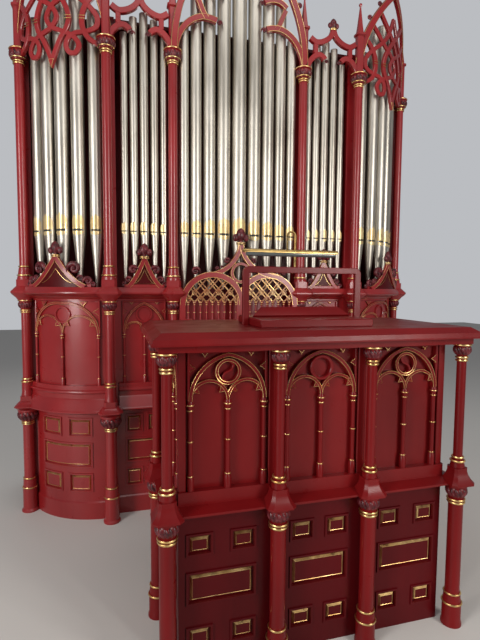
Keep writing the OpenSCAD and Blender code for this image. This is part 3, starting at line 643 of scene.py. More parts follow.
def column_sets():
    """Name, CAD node, feet, foot and top heights, shaft radius, base as (foot radius, drum
    radius, drum height, taper height) and capital as (radius, height) of the turned columns."""
    case, desk = case_columns(), desk_columns()
    return (
        ("low_turning", "lower_columns", case, 0.0, 0.689, 0.034,
         (0.053, 0.044, 0.156, 0.064), (0.063, 0.074)),
        ("mid_turning", "middle_columns", case, 0.777, 1.405, 0.026,
         (0.037, 0.034, 0.088, 0.020), (0.042, 0.058)),
        ("high_turning", "upper_columns", case, 1.535, 2.962, 0.0285,
         (0.044, 0.041, 0.020, 0.058), (0.054, 0.066)),
        ("desk_low_turning", "console_lower_columns", desk, 0.0, 0.644, 0.031,
         (0.044, 0.040, 0.096, 0.046), (0.044, 0.058)),
        ("desk_high_turning", "console_upper_columns", desk, 0.720, 1.263, 0.0195,
         (0.030, 0.027, 0.022, 0.018), (0.036, 0.050)),
    )


# Carved work

def smooth(points, steps=5):
    """A smooth line through key points."""
    last = len(points) - 1
    line = []
    for i in range(last):
        a, b, c, d = (points[max(i - 1, 0)], points[i], points[i + 1], points[min(i + 2, last)])
        for k in range(steps):
            t = k / steps
            line.append(tuple((2 * q + (r - p) * t + (2 * p - 5 * q + 4 * r - w) * t * t
                               + (3 * q - p - 3 * r + w) * t ** 3) / 2 for p, q, r, w in zip(a, b, c, d)))
    return line + [tuple(points[last])]


def moved(line, x, z):
    """A line shifted in its plane."""
    return [(x + px, z + pz) for px, pz in line]


def arch_radius(half, rise):
    """Radius of the two sides of a pointed arch."""
    return (half * half + rise * rise) / (2 * half)


def arch_x(half, rise, z):
    """Half width of a pointed arch at a height."""
    r = arch_radius(half, rise)
    return math.sqrt(r * r - z * z) - r + half


def pointed(half, rise, steps=12):
    """A pointed arch from its left foot over the point to its right foot."""
    r = arch_radius(half, rise)
    turn = math.atan2(rise, r - half)
    turns = [turn * i / steps for i in range(steps + 1)]
    left = [(r - half - r * math.cos(a), r * math.sin(a)) for a in turns]
    return left + [(-x, z) for x, z in reversed(left[:-1])]


def traced(points, side, z0):
    """A smooth line through points in millimetres over a height, mirrored where side is -1."""
    return smooth([(side * x / 1000, z0 + z / 1000) for x, z in points])


def ring(x, z, r, steps=24):
    """Points round a circle."""
    return [(x + r * math.cos(a), z + r * math.sin(a)) for a in circle(steps)]


def sidesteps(line, closed):
    """The mitred unit normal at each point of a line."""
    found = []
    last = len(line) - 1
    for i, (x, z) in enumerate(line):
        before = line[i - 1] if i or closed else line[0]
        after = line[(i + 1) % len(line)] if i < last or closed else line[last]
        a = Vector((x - before[0], z - before[1]))
        b = Vector((after[0] - x, after[1] - z))
        a = a.normalized() if a.length > 1e-9 else b.normalized()
        b = b.normalized() if b.length > 1e-9 else a
        along = (a + b).normalized()
        normal = Vector((-along.y, along.x))
        grow = max(normal.dot(Vector((-a.y, a.x))), 0.6)
        found.append((normal.x / grow, normal.y / grow))
    return found


def flat_place(x0, y, side=None):
    """Draws across and up in front of a flat wall that looks to -Y, or to the side given."""
    if side is None:
        return lambda x, out, z: Vector((x0 + x, y - out, z))
    return lambda x, out, z: Vector((side * (x0 + out), y + x, z))


def bay_place(side):
    """Draws across and up in front of the wall of a narrow bay."""
    plan = settings()[0]
    return flat_place(side * (plan.tower_x + plan.centre_x - BAY_SHIFT) / 2, plan.front_y + plan.bay_back)


def bowed_place(side):
    """Draws across and up in front of a tower's bowed wall."""
    axis, out_line = tower_axis(side)
    radius = settings()[0].bow_r
    turn0 = math.atan2(out_line.y, out_line.x)

    def place(x, out, z):
        """Goes round the tower's axis, with x measured along its chord."""
        turn = turn0 + math.asin(x / radius)
        return Vector((axis.x + (radius + out) * math.cos(turn), axis.y + (radius + out) * math.sin(turn), z))
    return place


class Relief:
    """Carved work drawn across and up, with a depth in front of a wall, and its gilt edges."""

    def __init__(self, place):
        self.place = place
        self.bm = bmesh.new()
        self.edges = []
        self.laid = 0
        self.leaves = []
        self.buds = []

    def skin(self, sections, closed=False):
        """A closed skin through sections of (across, out, up) points."""
        loft(self.bm, [[self.bm.verts.new(self.place(*p)) for p in section] for section in sections], closed)

    def gild(self, line, out, closed=False):
        """A gilt line along points drawn across and up."""
        points = [self.place(x, out, z) for x, z in line]
        self.edges += list(zip(points, points[1:] + points[:1])) if closed else list(zip(points, points[1:]))

    def band(self, line, width, back, front, closed=False, gilt=True, bevel=0.0028):
        """A band of even width with chamfered front edges."""
        half = width / 2
        bevel = min(bevel, half * 0.6)
        # Bands that cross or meet never share one face
        self.laid = (self.laid + 1) % 7
        front -= self.laid * 0.0003
        back -= self.laid * 0.0001
        profile = ((-half, back), (-half, front - bevel), (bevel - half, front), (half - bevel, front),
                   (half, front - bevel), (half, back))
        steps = sidesteps(line, closed)
        self.skin([[(x + nx * s, out, z + nz * s) for s, out in profile]
                   for (x, z), (nx, nz) in zip(line, steps)], closed)
        if gilt:
            for s in (bevel * 0.6 - half, half - bevel * 0.6):
                self.gild([(x + nx * s, z + nz * s) for (x, z), (nx, nz) in zip(line, steps)],
                          front - bevel * 0.3, closed)

    def plate(self, outline, back, front):
        """A small flat piece with a simple outline and a gilt edge."""
        self.skin([[(x, out, z) for x, z in outline] for out in (back, front)])
        self.gild(outline, front, True)

    def under(self, line, foot, back, front):
        """A sheet that fills the space between a line and a level under it."""
        self.skin([[(x, back, foot), (x, front, foot), (x, front, max(z, foot + 0.0005)),
                    (x, back, max(z, foot + 0.0005))] for x, z in line])

    def sheet(self, half, z0, z1, back, front, steps=24):
        """A wall of even height."""
        self.under([(-half + 2 * half * i / steps, z1) for i in range(steps + 1)], z0, back, front)

    def cusp(self, x, z, turn, size, back, front, flip=1):
        """A pointed cusp on the inside of a curve."""
        a = math.radians(turn)
        shape = ((-0.75, 0), (-0.28, -0.5), (0, -1), (0.28, -0.5), (0.75, 0))
        outline = [(flip * (x + size * (px * math.cos(a) - pz * math.sin(a))),
                    z + size * (px * math.sin(a) + pz * math.cos(a))) for px, pz in shape]
        self.plate(outline if flip > 0 else outline[::-1], back, front)

    def leaf(self, x, z, r, out, flip=1):
        """A scrolled leaf that curls to the right, or to the left where flip is -1."""
        self.leaves.append((self.place(flip * x, out, z), r, flip, self.heading(flip * x)))

    def bud(self, z, size, out):
        """A finial over the middle: a ribbed bud with two lobes."""
        self.buds.append((self.place(0.0, out, z), size, self.heading(0.0)))

    def heading(self, x):
        """Turn about Z from -Y to where the wall looks."""
        v = self.place(x, 0.01, 0) - self.place(x, 0, 0)
        return math.atan2(v.x, -v.y)

    def done(self, name, node=None, line="case_line", finish=None):
        """Hands over the carved piece and its gilt edges, in place of a CAD node where one is named."""
        bmesh.ops.recalc_face_normals(self.bm, faces=self.bm.faces)
        mesh = bpy.data.meshes.new(name)
        self.bm.to_mesh(mesh)
        self.bm.free()
        obj = linked(name, mesh)
        mesh.materials.append(finish_of(finish or ("desk_crimson" if line == "desk_line" else "crimson")))
        smooth_faces(obj, 32)
        riding(obj)
        if node:
            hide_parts(node)
        if self.edges:
            gilt_lines(name + "_lines", self.edges, getattr(settings()[1], line))
        return obj


def leaf_source():
    """A leaf scroll of unit radius, alike from both sides, with ripples along its back."""
    def build(bm):
        steps, first, sweep = 34, 215, 520
        loops = []
        for i in range(steps + 1):
            t = i / steps
            angle = math.radians(first - sweep * t)
            r = 1.0 - 0.76 * t
            wide = (0.30 - 0.19 * t) * (1 + 0.16 * abs(math.sin(t * 26))) * min(1, 0.25 + t * 6)
            deep = (0.34 - 0.16 * t) * min(1, 0.35 + t * 5)
            across = Vector((math.cos(angle), 0, math.sin(angle)))
            centre = Vector(((r - wide) * math.cos(angle), 0, (r - wide) * math.sin(angle)))
            loop = [centre + across * wide * math.cos(a) + Vector((0, deep * math.sin(a), 0))
                    for a in circle(10)]
            loops.append([bm.verts.new(place) for place in loop])
        loft(bm, loops)
        eye = bmesh.ops.create_uvsphere(bm, u_segments=10, v_segments=6, radius=0.22)["verts"]
        bmesh.ops.scale(bm, vec=(1, 1.25, 1), verts=eye)
        bmesh.ops.recalc_face_normals(bm, faces=bm.faces)
        by_place(bm)
    return mesh_of("leaf_source", build)


def bud_source():
    """A finial of unit half width: collar, two lobes and a ribbed bud like a cone."""
    def build(bm):
        profile = ((0.16, -0.25), (0.17, 0.1), (0.5, 0.2), (0.52, 0.36), (0.24, 0.46), (0.24, 0.6),
                   (0.42, 0.85), (0.52, 1.15), (0.48, 1.5), (0.32, 1.8), (0.1, 2.0), (0.02, 2.02))
        flat = 0.75
        loops = []
        for r, z in profile:
            ribs = 0.10 if 0.6 < z < 1.95 else 0.0
            around = [(a, r * (1 + ribs * math.cos(10 * a + 5 * z))) for a in circle(40)]
            loops.append([bm.verts.new((x * math.cos(a), x * math.sin(a) * flat, z)) for a, x in around])
        loft(bm, loops)
        for side, _ in SIDES:
            lobe = bmesh.ops.create_uvsphere(bm, u_segments=14, v_segments=9, radius=0.36)["verts"]
            bmesh.ops.scale(bm, vec=(1, 0.8, 1.2), verts=lobe)
            bmesh.ops.translate(bm, vec=(side * 0.6, 0, 0.92), verts=lobe)
        bmesh.ops.recalc_face_normals(bm, faces=bm.faces)
        by_place(bm)
    return mesh_of("bud_source", build)


def foliage(name, reliefs, ring_size):
    """Scrolled leaves and buds of some carved pieces, with gilt collars under the buds."""
    leaves = [leaf for relief in reliefs for leaf in relief.leaves]
    buds = [bud for relief in reliefs for bud in relief.buds]
    points = [(place, (r, r, r), (0, 0, turn + (0 if flip > 0 else math.pi)))
              for place, r, flip, turn in leaves]
    carvings(name + "_leaves", leaf_source(), points, "carved_leaf", angle=60)
    points = [(place, (size, size, size), (0, 0, turn)) for place, size, turn in buds]
    carvings(name + "_buds", bud_source(), points, "carved_leaf", angle=60)
    rings(name + "_collars", [(place + Vector((0, 0, size * h)), size * 0.52, size * 0.40, turn)
                              for place, size, turn in buds for h in (0.2, 0.36)], ring_size, steps=20)


def tracery(relief, half, rise, foot, width, front, s_bend=0):
    """Two cusped lancets and a circle under a pointed arch, with cusped spandrels beside it."""
    back, thin, lap = -0.001, width * 0.8, width * 0.4
    lancet = half / 2
    low = lancet * 1.02
    tip = low * 0.6
    small_cusp = lancet * 0.26
    cusp = small_cusp + lap
    edge, end, rail = half + width * 0.45, half + lap, foot + rise + width * 0.7
    eye, eye_z = rise * 0.26, foot + rise * 0.62
    relief.band(moved(pointed(half, rise), 0, foot), width, back, front)
    for s, _ in SIDES:
        relief.band(moved(pointed(lancet, low, 8), s * lancet, foot), thin, back, front - 0.003)
        for t, _ in SIDES:
            x = s * t * lancet + arch_x(lancet, low, tip)
            relief.cusp(x, foot + tip, -52, cusp, back, front - 0.005, t)
        stile = [(s * edge, foot + 0.002), (s * edge, foot + rise + width)]
        relief.band(stile, width * 0.7, back, front, gilt=False)
        relief.cusp(half + width * 0.3, foot + rise * 0.72, -90, cusp, back, front - 0.004, s)
        relief.cusp(half * 0.62, rail, 0, small_cusp, back, front - 0.004, s)
    relief.band([(-end, rail), (end, rail)], width * 0.65, back, front, gilt=False)
    relief.band(ring(0, eye_z, eye), thin, back, front - 0.003, True, gilt=bool(s_bend))
    if s_bend:
        bend = ((-0.1, 0.97), (0.45, 0.62), (0.3, 0.18), (0, 0), (-0.3, -0.18), (-0.45, -0.62), (0.1, -0.97))
        line = smooth([(s_bend * eye * x, eye_z + eye * z) for x, z in bend], 4)
        relief.band(line, width * 0.55, back, front - 0.004, gilt=False, bevel=0.0018)


def shafts(name, places, z0, z1, r, finish="crimson"):
    """Slender turned shafts with a base, a middle ring and a bell, their rings gilt."""
    height = z1 - z0
    wide = 1.45 * r
    profile = [(0.001, 0), (wide, 0), (wide, 4.6 * r), (r, 5.4 * r), (0.93 * r, 7 * r),
               (0.93 * r, height - 4 * r), (r, height - 2.8 * r), (wide, height - 1.8 * r),
               (1.4 * r, height - 0.9 * r), (1.1 * r, height), (0.001, height)]
    source = mesh_of(name + "_source", lambda bm: lathe(bm, profile, 14))
    carvings(name, source, standing(places, z0), finish, angle=35)
    levels = ((5.6 * r, 1.1), (0.55 * height, 1.1), (height - 3.6 * r, 1.1), (height - 1.5 * r, 1.45))
    rings(name + "_rings", [(place + Vector((0, 0, z0)) + Vector((0, 0, z)), r * share)
                            for place in places for z, share in levels], settings()[1].thin_ring, steps=12)


def framed(name, place, fields, deep, steps=6, finish=None):
    """A raised moulding and a sloping gilt edge round panels as (middle, width, height, size)."""
    red = ((-0.013, -0.001), (-0.011, 0.006), (-0.003, 0.006), (0.0, -deep * 0.9))
    gold = ((0.0045, -deep * 0.95), (0.0125, 0.0022), (0.0135, 0.0015), (0.0115, -deep * 0.95))
    corners = ((-1, -1), (1, -1), (1, 1), (-1, 1), (-1, -1))
    for part, profile, shade in (("frames", red, finish), ("slopes", gold, "gold_leaf")):
        relief = Relief(place)
        for x, width, z, height in fields:
            sections = []
            for (ax, az), (bx, bz) in zip(corners, corners[1:]):
                for i in range(steps):
                    u, v = ax + (bx - ax) * i / steps, az + (bz - az) * i / steps
                    sections.append([(x + u * (width / 2 - inset), out, z + v * (height / 2 - inset))
                                     for inset, out in profile])
            relief.skin(sections, True)
        relief.done(f"{name}_{part}", finish=shade)


# Pieces

# First letters of node names and the finish that goes with them; the first line that fits holds
NODE_FINISHES = (
    (("pipes_",), "pipe_tin"),
    (("back_wall", "roof", "windchest", "side_walls"), "inner_red"),
    (("key_table", "key_cheeks"), "key_walnut"),
    (("lower_manual", "upper_manual"), "key_facing"),
    (("pedalboard",), "pedal_wood"),
    (("stop_knobs",), "knob_bone"),
    (("music_light",), "old_brass"),
    # The console's lowest stage gets a darker copy of its lacquer: painted shade under the ledge.
    (("console_base",), "base_crimson"),
    (("console_", "music_", "kneeboard", "stop_jambs"), "desk_crimson"),
    (("",), "crimson"),
)


class ORGAN_OT_finishes(bpy.types.Operator):
    """Give every CAD node its lacquer, metal, wood or bone"""
    bl_idname = "organ.finishes"
    bl_label = "Finishes"

    def execute(self, context):
        for name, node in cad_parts.items():
            finish = next(finish for starts, finish in NODE_FINISHES if name.startswith(starts))
            node.data.materials.clear()
            node.data.materials.append(finish_of(finish))
        return {"FINISHED"}


class ORGAN_OT_turned_columns(bpy.types.Operator):
    """Turn the columns of the case and the console"""
    bl_idname = "organ.turned_columns"
    bl_label = "Turned columns"

    def profile(self, height, r, base, cap):
        """Radius and height of each turning, from the foot up."""
        bead, out = 0.010, 0.005

        def roll(radius, z, size=bead):
            """A half round bead."""
            return [(radius + out * math.sin(math.pi * i / 6), z + size * i / 6) for i in range(7)]

        foot, drum_r, drum, taper = base
        neck = height - cap[1]
        bell = ((0.7, 0.0), (0.84, 0.25), (0.96, 0.5), (0.93, 0.72), (0.86, 0.8), (1.0, 0.84), (1.0, 1.0))
        line = [(0.001, 0), (foot, 0), (foot, bead), (drum_r, 2 * bead), (drum_r, drum)]
        line += roll(drum_r * 0.94, drum + 0.002) + [(r * 1.14, drum + taper - 0.004)] + roll(r, drum + taper)
        line += roll(r, neck - 0.026, 0.008) + roll(r, neck - 0.013)
        return line + [(max(cap[0] * u, r + 0.001), neck + cap[1] * v) for u, v in bell] + [(0.001, height)]

    def execute(self, context):
        for name, node, feet, z0, z1, r, base, cap in column_sets():
            line = self.profile(z1 - z0, r, base, cap)
            source = mesh_of(name + "_source", lambda bm: lathe(bm, line, 40))
            finish = "desk_crimson" if name.startswith("desk") else "crimson"
            made = carvings(name, source, standing(feet, z0), finish, angle=35)
            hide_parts(node)
        return {"FINISHED"}


class ORGAN_OT_mouldings(bpy.types.Operator):
    """Run the ledges and the cornice along the walls, with a block under each column"""
    bl_idname = "organ.mouldings"
    bl_label = "Ledges and cornice"

    def run(self, place, profile, x0, x1, steps=1):
        """A moulding of one profile, as (out, height), along a wall."""
        relief = Relief(place)
        relief.skin([[(x0 + (x1 - x0) * i / steps, out, z) for out, z in profile] for i in range(steps + 1)])
        return relief

    def blocks(self, feet, line):
        """Square blocks with cut corners whose half width changes with height, as (half, height)."""
        cut = 0.697
        corners = ((1, -cut), (1, cut), (cut, 1), (-cut, 1), (-1, cut), (-1, -cut), (-cut, -1), (cut, -1))
        relief = Relief(flat_place(0.0, 0.0))
        for foot in feet:
            relief.skin([[(foot.x + h * u, -foot.y - h * v, z) for u, v in corners] for h, z in line])
        return relief

    def case(self, plan):
        """The case's ledge and cornice, and the spires over its columns."""
        z, sill, top, cap = 0.715, plan.sill_z, plan.cornice_top, plan.cornice_z
        ledge = ((-WALL, z - 0.026), (0.016, z - 0.026), (0.040, z - 0.014), (0.068, z - 0.007), (0.068, z),
                 (0.060, z + 0.008), (0.036, z + 0.070), (0.030, z + 0.076), (0.030, sill - 0.052),
                 (0.040, sill - 0.046), (0.043, sill - 0.039), (0.040, sill - 0.032), (0.030, sill - 0.026),
                 (0.028, sill), (-WALL, sill))
        cornice = ((-WALL, cap), (0.016, cap), (0.016, cap + 0.008), (0.026, cap + 0.012),
                   (0.038, cap + 0.026), (0.070, cap + 0.032), (0.086, cap + 0.040), (0.092, cap + 0.046),
                   (0.092, cap + 0.054), (0.068, top), (-WALL, top))
        wall = plan.front_y + plan.bay_back
        middle = (plan.tower_x + plan.centre_x) / 2
        ledge_gap = 0.054
        for node, profile, gap in (("ledge", ledge, ledge_gap), ("cornice", cornice, 0.044)):
            reach = (plan.tower_x - plan.centre_x) / 2 - gap
            for side, word in SIDES:
                bow = self.run(bowed_place(side), profile, -BOW_HALF, BOW_HALF, 32)
                bow.done(f"{word}_tower_{node}", node)
                bay = self.run(flat_place(side * middle, wall), profile, -reach, reach)
                bay.done(f"{word}_bay_{node}", node)
        reach = plan.centre_x - ledge_gap
        self.run(flat_place(0.0, wall), ledge, -reach, reach).done("centre_ledge", "ledge")
        spire = plan.spring_z + 0.258
        for name, node, line in (
                ("ledge_blocks", "ledge",
                 ((0.054, z - 0.026), (0.066, z - 0.012), (0.074, z - 0.007), (0.074, z), (0.060, z + 0.012),
                  (0.050, z + 0.026), (0.040, z + 0.030), (0.040, 0.777))),
                ("cornice_blocks", "cornice",
                 ((0.040, cap), (0.048, cap + 0.014), (0.068, cap + 0.034), (0.076, cap + 0.046),
                  (0.076, cap + 0.054), (0.053, top - 0.004), (0.045, top + 0.004), (0.045, top + 0.046))),
                ("spires", "pinnacles",
                 ((0.024, plan.spring_z), (0.024, spire - 0.014), (0.033, spire - 0.006),
                  (0.033, spire + 0.006), (0.022, spire + 0.010), (0.016, spire + 0.060),
                  (0.004, spire + 0.184), (0.009, spire + 0.194), (0.009, spire + 0.204),
                  (0.003, spire + 0.210)))):
            self.blocks(case_columns(), line).done(name, node)

    def console(self, plan):
        """The console's ledge on three sides and the blocks under its upper columns."""
        z, low, foot, sill, back, node = 0.656, 0.612, 0.644, plan.desk_sill, -0.046, "console_ledge"
        shelf = ((back, low), (0.0004, low), (0.0004, foot), (0.010, foot), (0.034, z - 0.011),
                 (0.064, z - 0.008), (0.064, z), (0.009, z + 0.012), (0.008, sill), (back, sill))
        reach = plan.desk_side + 0.001
        front = self.run(flat_place(0.0, plan.desk_front), shelf, -reach, reach)
        front.done("console_shelf", node, "desk_line")
        for side, word in SIDES:
            flank = self.run(flat_place(plan.desk_side, 0.0, side), shelf, plan.desk_front, DESK_BACK)
            flank.done(word + "_console_shelf", node, "desk_line")
        self.blocks(desk_columns(), (
            (0.044, foot), (0.054, z - 0.009), (0.058, z - 0.007), (0.058, z), (0.046, z + 0.014),
            (0.037, z + 0.032), (0.033, z + 0.048), (0.033, sill))).done("console_blocks", node, "desk_line")

    def execute(self, context):
        plan = settings()[0]
        self.case(plan)
        self.console(plan)
        return {"FINISHED"}


class ORGAN_OT_tower_arches(bpy.types.Operator):
    """Carve the interlaced arches of the towers"""
    bl_idname = "organ.tower_arches"
    bl_label = "Tower arches"

    def execute(self, context):
        plan, gilding = settings()[:2]
        half, rise, width, back, front = 0.280, 0.610, 0.038, 0.038, 0.062
        strap, up, middle = 0.026, plan.spring_z + 0.018, (back + front) / 2
        # The straps of one half, as (across, over the springing) in millimetres
        drop = ((0, -160), (24, -96), (53, -32), (85, 22), (98, 76), (90, 124), (68, 176), (36, 226),
                (0, 272), (-48, 325), (-100, 385), (-148, 445))
        knot = ((203, 345), (150, 282), (96, 222), (40, 182), (0, 152), (-31, 91), (0, 35), (63, 4),
                (118, -24), (149, -72), (132, -116), (104, -122))
        loop = ((126, -120), (98, -116), (82, -80), (92, -38), (130, -8), (190, 6), (232, 36), (238, 86),
                (212, 133), (170, 176), (118, 222), (70, 278), (34, 345), (0, 425))
        beside = ((250, -66), (205, -42), (178, -4), (165, 48), (169, 107), (186, 155), (215, 200),
                  (246, 235))
        made = []
        for side, word in SIDES:
            relief = Relief(bowed_place(side))
            relief.band(moved(pointed(half, rise, 16), 0, plan.spring_z), width, back, front)
            for s, _ in SIDES:
                for points, low, high in ((drop, back, front - 0.002), (beside, back, front - 0.002),
                                          (knot, back + 0.004, front - 0.005),
                                          (loop, back + 0.003, front - 0.0035)):
                    relief.band(traced(points, s, up), strap, low, high, gilt=False)
                for x in (0.098, 0.167):
                    for z in (0.072, 0.088):
                        relief.gild([(s * (x - 0.017), up + z), (s * (x + 0.017), up + z)], front + 0.001)
                for t in (0.42, 0.62, 0.8):
                    z = rise * t
                    relief.leaf(arch_x(half, rise, z) + width / 2 + 0.011, plan.spring_z + z + 0.009, 0.024,
                                middle, s)
            relief.plate([(-0.015, up - 0.152), (0, up - 0.200), (0.015, up - 0.152)], back, front)
            relief.bud(plan.spring_z + rise + 0.02, 0.066, middle)
            relief.done(word + "_tower_tracery", word + "_tower_arch")
            made.append(relief)
        foliage("tower_arch", made, gilding.arch_collar)
        return {"FINISHED"}


class ORGAN_OT_flat_arches(bpy.types.Operator):
    """Carve the arches of the narrow bays and of the centre bay"""
    bl_idname = "organ.flat_arches"
    bl_label = "Flat arches"

    def narrow(self, relief, spring, back, front):
        """A low cusped arch under an ogee, with a bud on its point."""
        low = ((186, 0), (166, 41), (135, 74), (101, 87), (72, 76), (60, 62))
        sweep = ((166, 190), (126, 167), (86, 172), (48, 191), (17, 221), (0, 262))
        for s, _ in SIDES:
            for points in (low, sweep):
                relief.band(traced(points, s, spring), 0.034, back, front, gilt=False)
            tie = [(s * 0.127, spring + 0.095), (s * 0.127, spring + 0.155)]
            relief.band(tie, 0.03, back, front - 0.002, gilt=False)
            relief.leaf(0.046, spring + 0.052, 0.018, 0.0, s)
        relief.bud(spring + 0.252, 0.042, 0.0)

    def centre(self, relief, half, spring, back, front):
        """A tall pointed arch with a cusped foil on each side and leaves up its back."""
        rise, width = 0.800, 0.040
        lobe = ((426, 0), (412, 60), (378, 126), (326, 178), (262, 207), (205, 206), (166, 196))
        fork = ((232, 204), (252, 236), (272, 282), (292, 330))
        foil = ((300, 345), (262, 372), (220, 380), (178, 374), (150, 360))
        relief.band(moved(pointed(half, rise, 18), 0, spring), width, back, front)
        for s, _ in SIDES:
            for points, share in ((lobe, 0.9), (fork, 0.8), (foil, 0.8)):
                relief.band(traced(points, s, spring), width * share, back, front - 0.001)
            relief.leaf(0.148, spring + 0.188, 0.024, 0.0, s)
            relief.leaf(0.134, spring + 0.352, 0.022, 0.0, s)
            for t in (0.46, 0.59, 0.72, 0.85):
                z = rise * t
                relief.leaf(arch_x(half, rise, z) + width / 2 + 0.012, spring + z + 0.01, 0.026, 0.0, s)
        relief.bud(spring + rise + 0.012, 0.064, 0.0)

    def execute(self, context):
        plan, gilding = settings()[:2]
        spring, back, front = plan.spring_z, -0.014, 0.014
        made = []
        for side, word in SIDES:
            relief = Relief(flat_place(side * (plan.tower_x + plan.centre_x) / 2, plan.front_y))
            self.narrow(relief, spring, back, front)
            relief.done(word + "_bay_arch", "narrow_arches")
            made.append(relief)
        relief = Relief(flat_place(0.0, plan.front_y))
        self.centre(relief, plan.centre_x - 0.006, spring, back, front)
        relief.done("centre_bay_arch", "centre_arch")
        foliage("flat_arch", made + [relief], gilding.arch_collar)
        return {"FINISHED"}


class ORGAN_OT_crests(bpy.types.Operator):
    """Carve the gablets over the cornice"""
    bl_idname = "organ.crests"
    bl_label = "Crests"

    def crest(self, relief, field, half, foot, scrolls, back):
        """A gablet with hollow sides, a sunk field darkened with painted shade, curled leaves and a bud."""
        rise, front, steps, hollow, share, sunk = 0.190, back + 0.018, 12, 1.8, 0.93, 0.46
        edge_w, rail_w, deep = 0.028, 0.020, 0.009
        side = [(-half * (1 - i / steps), foot + rise * (i / steps) ** hollow) for i in range(steps + 1)]
        line = side + [(-x, z) for x, z in reversed(side[:-1])]
        field.under(line, foot - 0.002, back, front - deep)
        inner = [(x * share, z - 0.004) for x, z in line if z > foot + 0.004]
        relief.band(inner, edge_w, back, front)
        rail = [(-half * share, foot + 0.009), (half * share, foot + 0.009)]
        relief.band(rail, rail_w, back, front, gilt=False)
        small = [(x * sunk, foot + 0.026 + (z - foot) * sunk) for x, z in line]
        relief.gild(small, front - 0.008)
        relief.gild([small[0], small[-1]], front - 0.008)
        for s, _ in SIDES:
            for t, r in scrolls:
                relief.leaf(half * (1 - t) + rise * r * 0.5, foot + rise * (t ** hollow + r * 0.6), rise * r,
                            (back + front) / 2, s)
        relief.bud(foot + rise * 0.92, rise * 0.27, (back + front) / 2)

    def execute(self, context):
        plan, gilding = settings()[:2]
        # Leaves up each side, as (share of the way to the point, size as a share of the rise)
        wide = ((0.62, 0.29), (0.40, 0.15), (0.24, 0.20), (0.08, 0.12))
        small = ((0.64, 0.22), (0.36, 0.16), (0.13, 0.12))
        made = []
        for side, word in SIDES:
            for part, node, place, half, scrolls in (
                    ("tower", "tower_crests", bowed_place(side), 0.205, wide),
                    ("bay", "narrow_crests", bay_place(side), 0.134, small)):
                relief, field = Relief(place), Relief(place)
                self.crest(relief, field, half, plan.cornice_top, scrolls, 0.052)
                relief.done(f"{word}_{part}_gablet", node, "relief_line")
                # The sunk field takes the darker base lacquer: painted shade in the recess.
                field.done(f"{word}_{part}_field", node, finish="base_crimson")
                made.append(relief)
        foliage("crest", made, gilding.collar)
        return {"FINISHED"}


class ORGAN_OT_case_tracery(bpy.types.Operator):
    """Carve the blind tracery of the towers and the narrow bays"""
    bl_idname = "organ.case_tracery"
    bl_label = "Case tracery"

    def execute(self, context):
        plan = settings()[0]
        rise = plan.cornice_z - plan.panel_spring - 0.017
        depth, shaft_out = 0.015, 0.012
        feet = []
        for side, word in SIDES:
            for part, node, place, wall, half, width, steps in (
                    ("tower", "tower_panels", bowed_place(side), BOW_HALF, 0.218, 0.014, 24),
                    ("bay", "narrow_panels", bay_place(side), 0.169, 0.129, 0.013, 2)):
                relief = Relief(place)
                relief.sheet(wall, plan.sill_z, plan.cornice_z, -WALL, 0.0, steps)
                tracery(relief, half, rise, plan.panel_spring, width, depth)
                relief.done(f"{word}_{part}_wall", node, "relief_line")
                feet += [place(x, shaft_out, 0) for x in (-half, 0, half)]
        shafts("case_shafts", feet, plan.sill_z, plan.panel_spring, 0.008)
        return {"FINISHED"}


